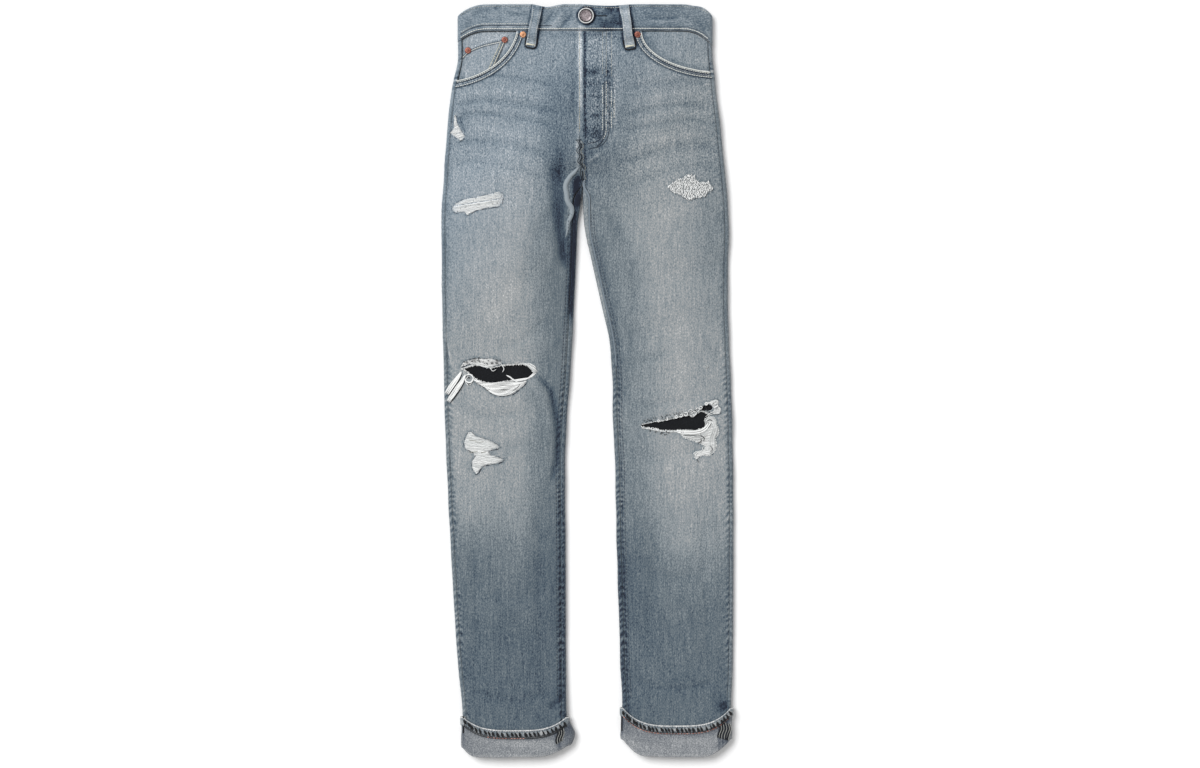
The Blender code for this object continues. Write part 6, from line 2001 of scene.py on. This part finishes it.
# %% Dark flecks and slits
# half, the stretch of its rip, outwards or not, how many, least and most distance, lift
FLECKED = (
    ("right", RIPS["right"][:6], 1, 44, 3.5, 9.5, 2.2), ("left", RIPS["left"][:9], 1, 60, 1, 6.5, 1.3),
    ("left", RIPS["left"][9:], -1, 34, 1, 6.5, 1.3),
)
for side, reach, outward, count, low, high, lift in FLECKED:
    line = evenly(reach, 0.5)
    spots = line[rng.integers(0, len(line), count)]
    spots = spots + outward * together(0.4 * rng.uniform(-1, 1, count), rng.uniform(low, high, count))
    turn = rng.uniform(0, 3.1, count)
    marks = short_marks(side, spots, turn, rng.uniform(0.5, 1.5, (count, 1)), 0.2, lift, 4)
    yarns(f"flecks_{side}_{count}", marks, 0.5, 0.4, 0.4, "black")
shades = [
    [(x + 2.9 * f, y - 2.2 * f) for (x, y), f in zip(base, (0.5, 0.8, 1.1, 1.2, 1.1))] for base in STRIPS
]
yarns("shade_strips", threads("right", shades, 0.9), 0.7, 0.3, 0.1, "black")
flecks = np.array((
    (-178, 247), (-170, 250), (-161, 247.5), (-154, 256), (-149, 251), (-141, 256.5), (-135, 261),
    (-185, 245),
    (-166, 256), (-129, 258.5), (-174, 243), (-158, 251), (-145, 247), (-139, 252), (-181, 251),
    (-163, 260),
    (-150, 260), (-132, 253), (-126, 263), (-170, 240), (-189, 242),
))
fleck_ends = np.stack([flecks, flecks + (1.5, 0.2)], axis=1)
yarns("flecks_thigh_patch", strands("right", fleck_ends, 0, 1.5, 3), 0.5, 0.5, 0.3, "black")
slits = np.array((
    ((-173, -84.5), (-161, -86.5)), ((-166, -88.5), (-149, -87)), ((-172, -102.5), (-158, -101.5)),
    ((-156, -103.5), (-147, -101.5)),
))
yarns("slits_shin", strands("right", slits, 0.3, 1, 7), 0.62, 0.12, 0.1, "pale")

# %% [markdown]
# ## Floor, light and camera
# The garment lies on a white surface. A wide soft sun from the upper left gives short soft shadows, and
# an even white sky fills them. The camera looks straight down from high up, so the legs stay parallel.

# %% Floor
FLOOR_REACH, FLOOR_HEIGHT = 14, -0.0006   # metres; just under the lowest thread


def placed(name, data):
    """An object with its data, in the scene."""
    made = bpy.data.objects.new(name, data)
    bpy.context.scene.collection.objects.link(made)
    return made


floor_white, tree, shader = finish("floor_white", roughness=0.95)
shader.inputs["Base Color"].default_value = (0.93, 0.93, 0.93, 1)
cloudy = ramp(tree, grain(tree, (3, 3, 3)), ((0, (250, 250, 250)), (1, (254, 254, 254))))
feed(tree, shader, {"Base Color": cloudy})
floor_mesh = bpy.data.meshes.new("floor")
corners = [(FLOOR_REACH * i, FLOOR_REACH * j, FLOOR_HEIGHT) for i, j in ((-1, -1), (1, -1), (1, 1), (-1, 1))]
floor_mesh.from_pydata(corners, [], [(0, 1, 2, 3)])
floor_mesh.materials.append(floor_white)
placed("floor", floor_mesh)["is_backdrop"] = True

# %% Light and camera
SUN_STRENGTH, SUN_WIDTH, SUN_FROM, SKY_STRENGTH = 2.6, 34, (-0.55, 0.5, 0.95), 0.62
sun = bpy.data.lights.new("window_light", "SUN")
sun.energy, sun.angle = SUN_STRENGTH, math.radians(SUN_WIDTH)
placed("window_light", sun).rotation_euler = Vector(SUN_FROM).to_track_quat("Z", "Y").to_euler()
bpy.context.scene.world = bpy.data.worlds.new("soft_sky")
bpy.context.scene.world.use_nodes = True
sky = bpy.context.scene.world.node_tree.nodes["Background"]
sky.inputs["Color"].default_value = (1, 1, 1, 1)
sky.inputs["Strength"].default_value = SKY_STRENGTH

LENS, SENSOR_WIDTH, FAR_END = 100, 36, 50           # millimetres, millimetres, metres
VIEW_WIDTH, VIEW_MIDDLE, LIFT = 1.716, (0.0153, -0.005), 0.012     # metres
lens = bpy.data.cameras.new("camera")
lens.lens, lens.sensor_width, lens.clip_end = LENS, SENSOR_WIDTH, FAR_END
camera = placed("camera", lens)
camera.location = (*VIEW_MIDDLE, VIEW_WIDTH * LENS / SENSOR_WIDTH + LIFT)
bpy.context.scene.camera = camera
bpy.context.scene.view_settings.view_transform = "Standard"
print("camera", [round(v, 3) for v in camera.location], "m, lens", lens.lens, "mm")

look_low, look_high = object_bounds()
for name, low, high in (("visual", look_low, look_high), ("cad", cad_low, cad_high)):
    print(name, "box", [round((b - a) / MM, 1) for a, b in zip(low, high)], "mm")
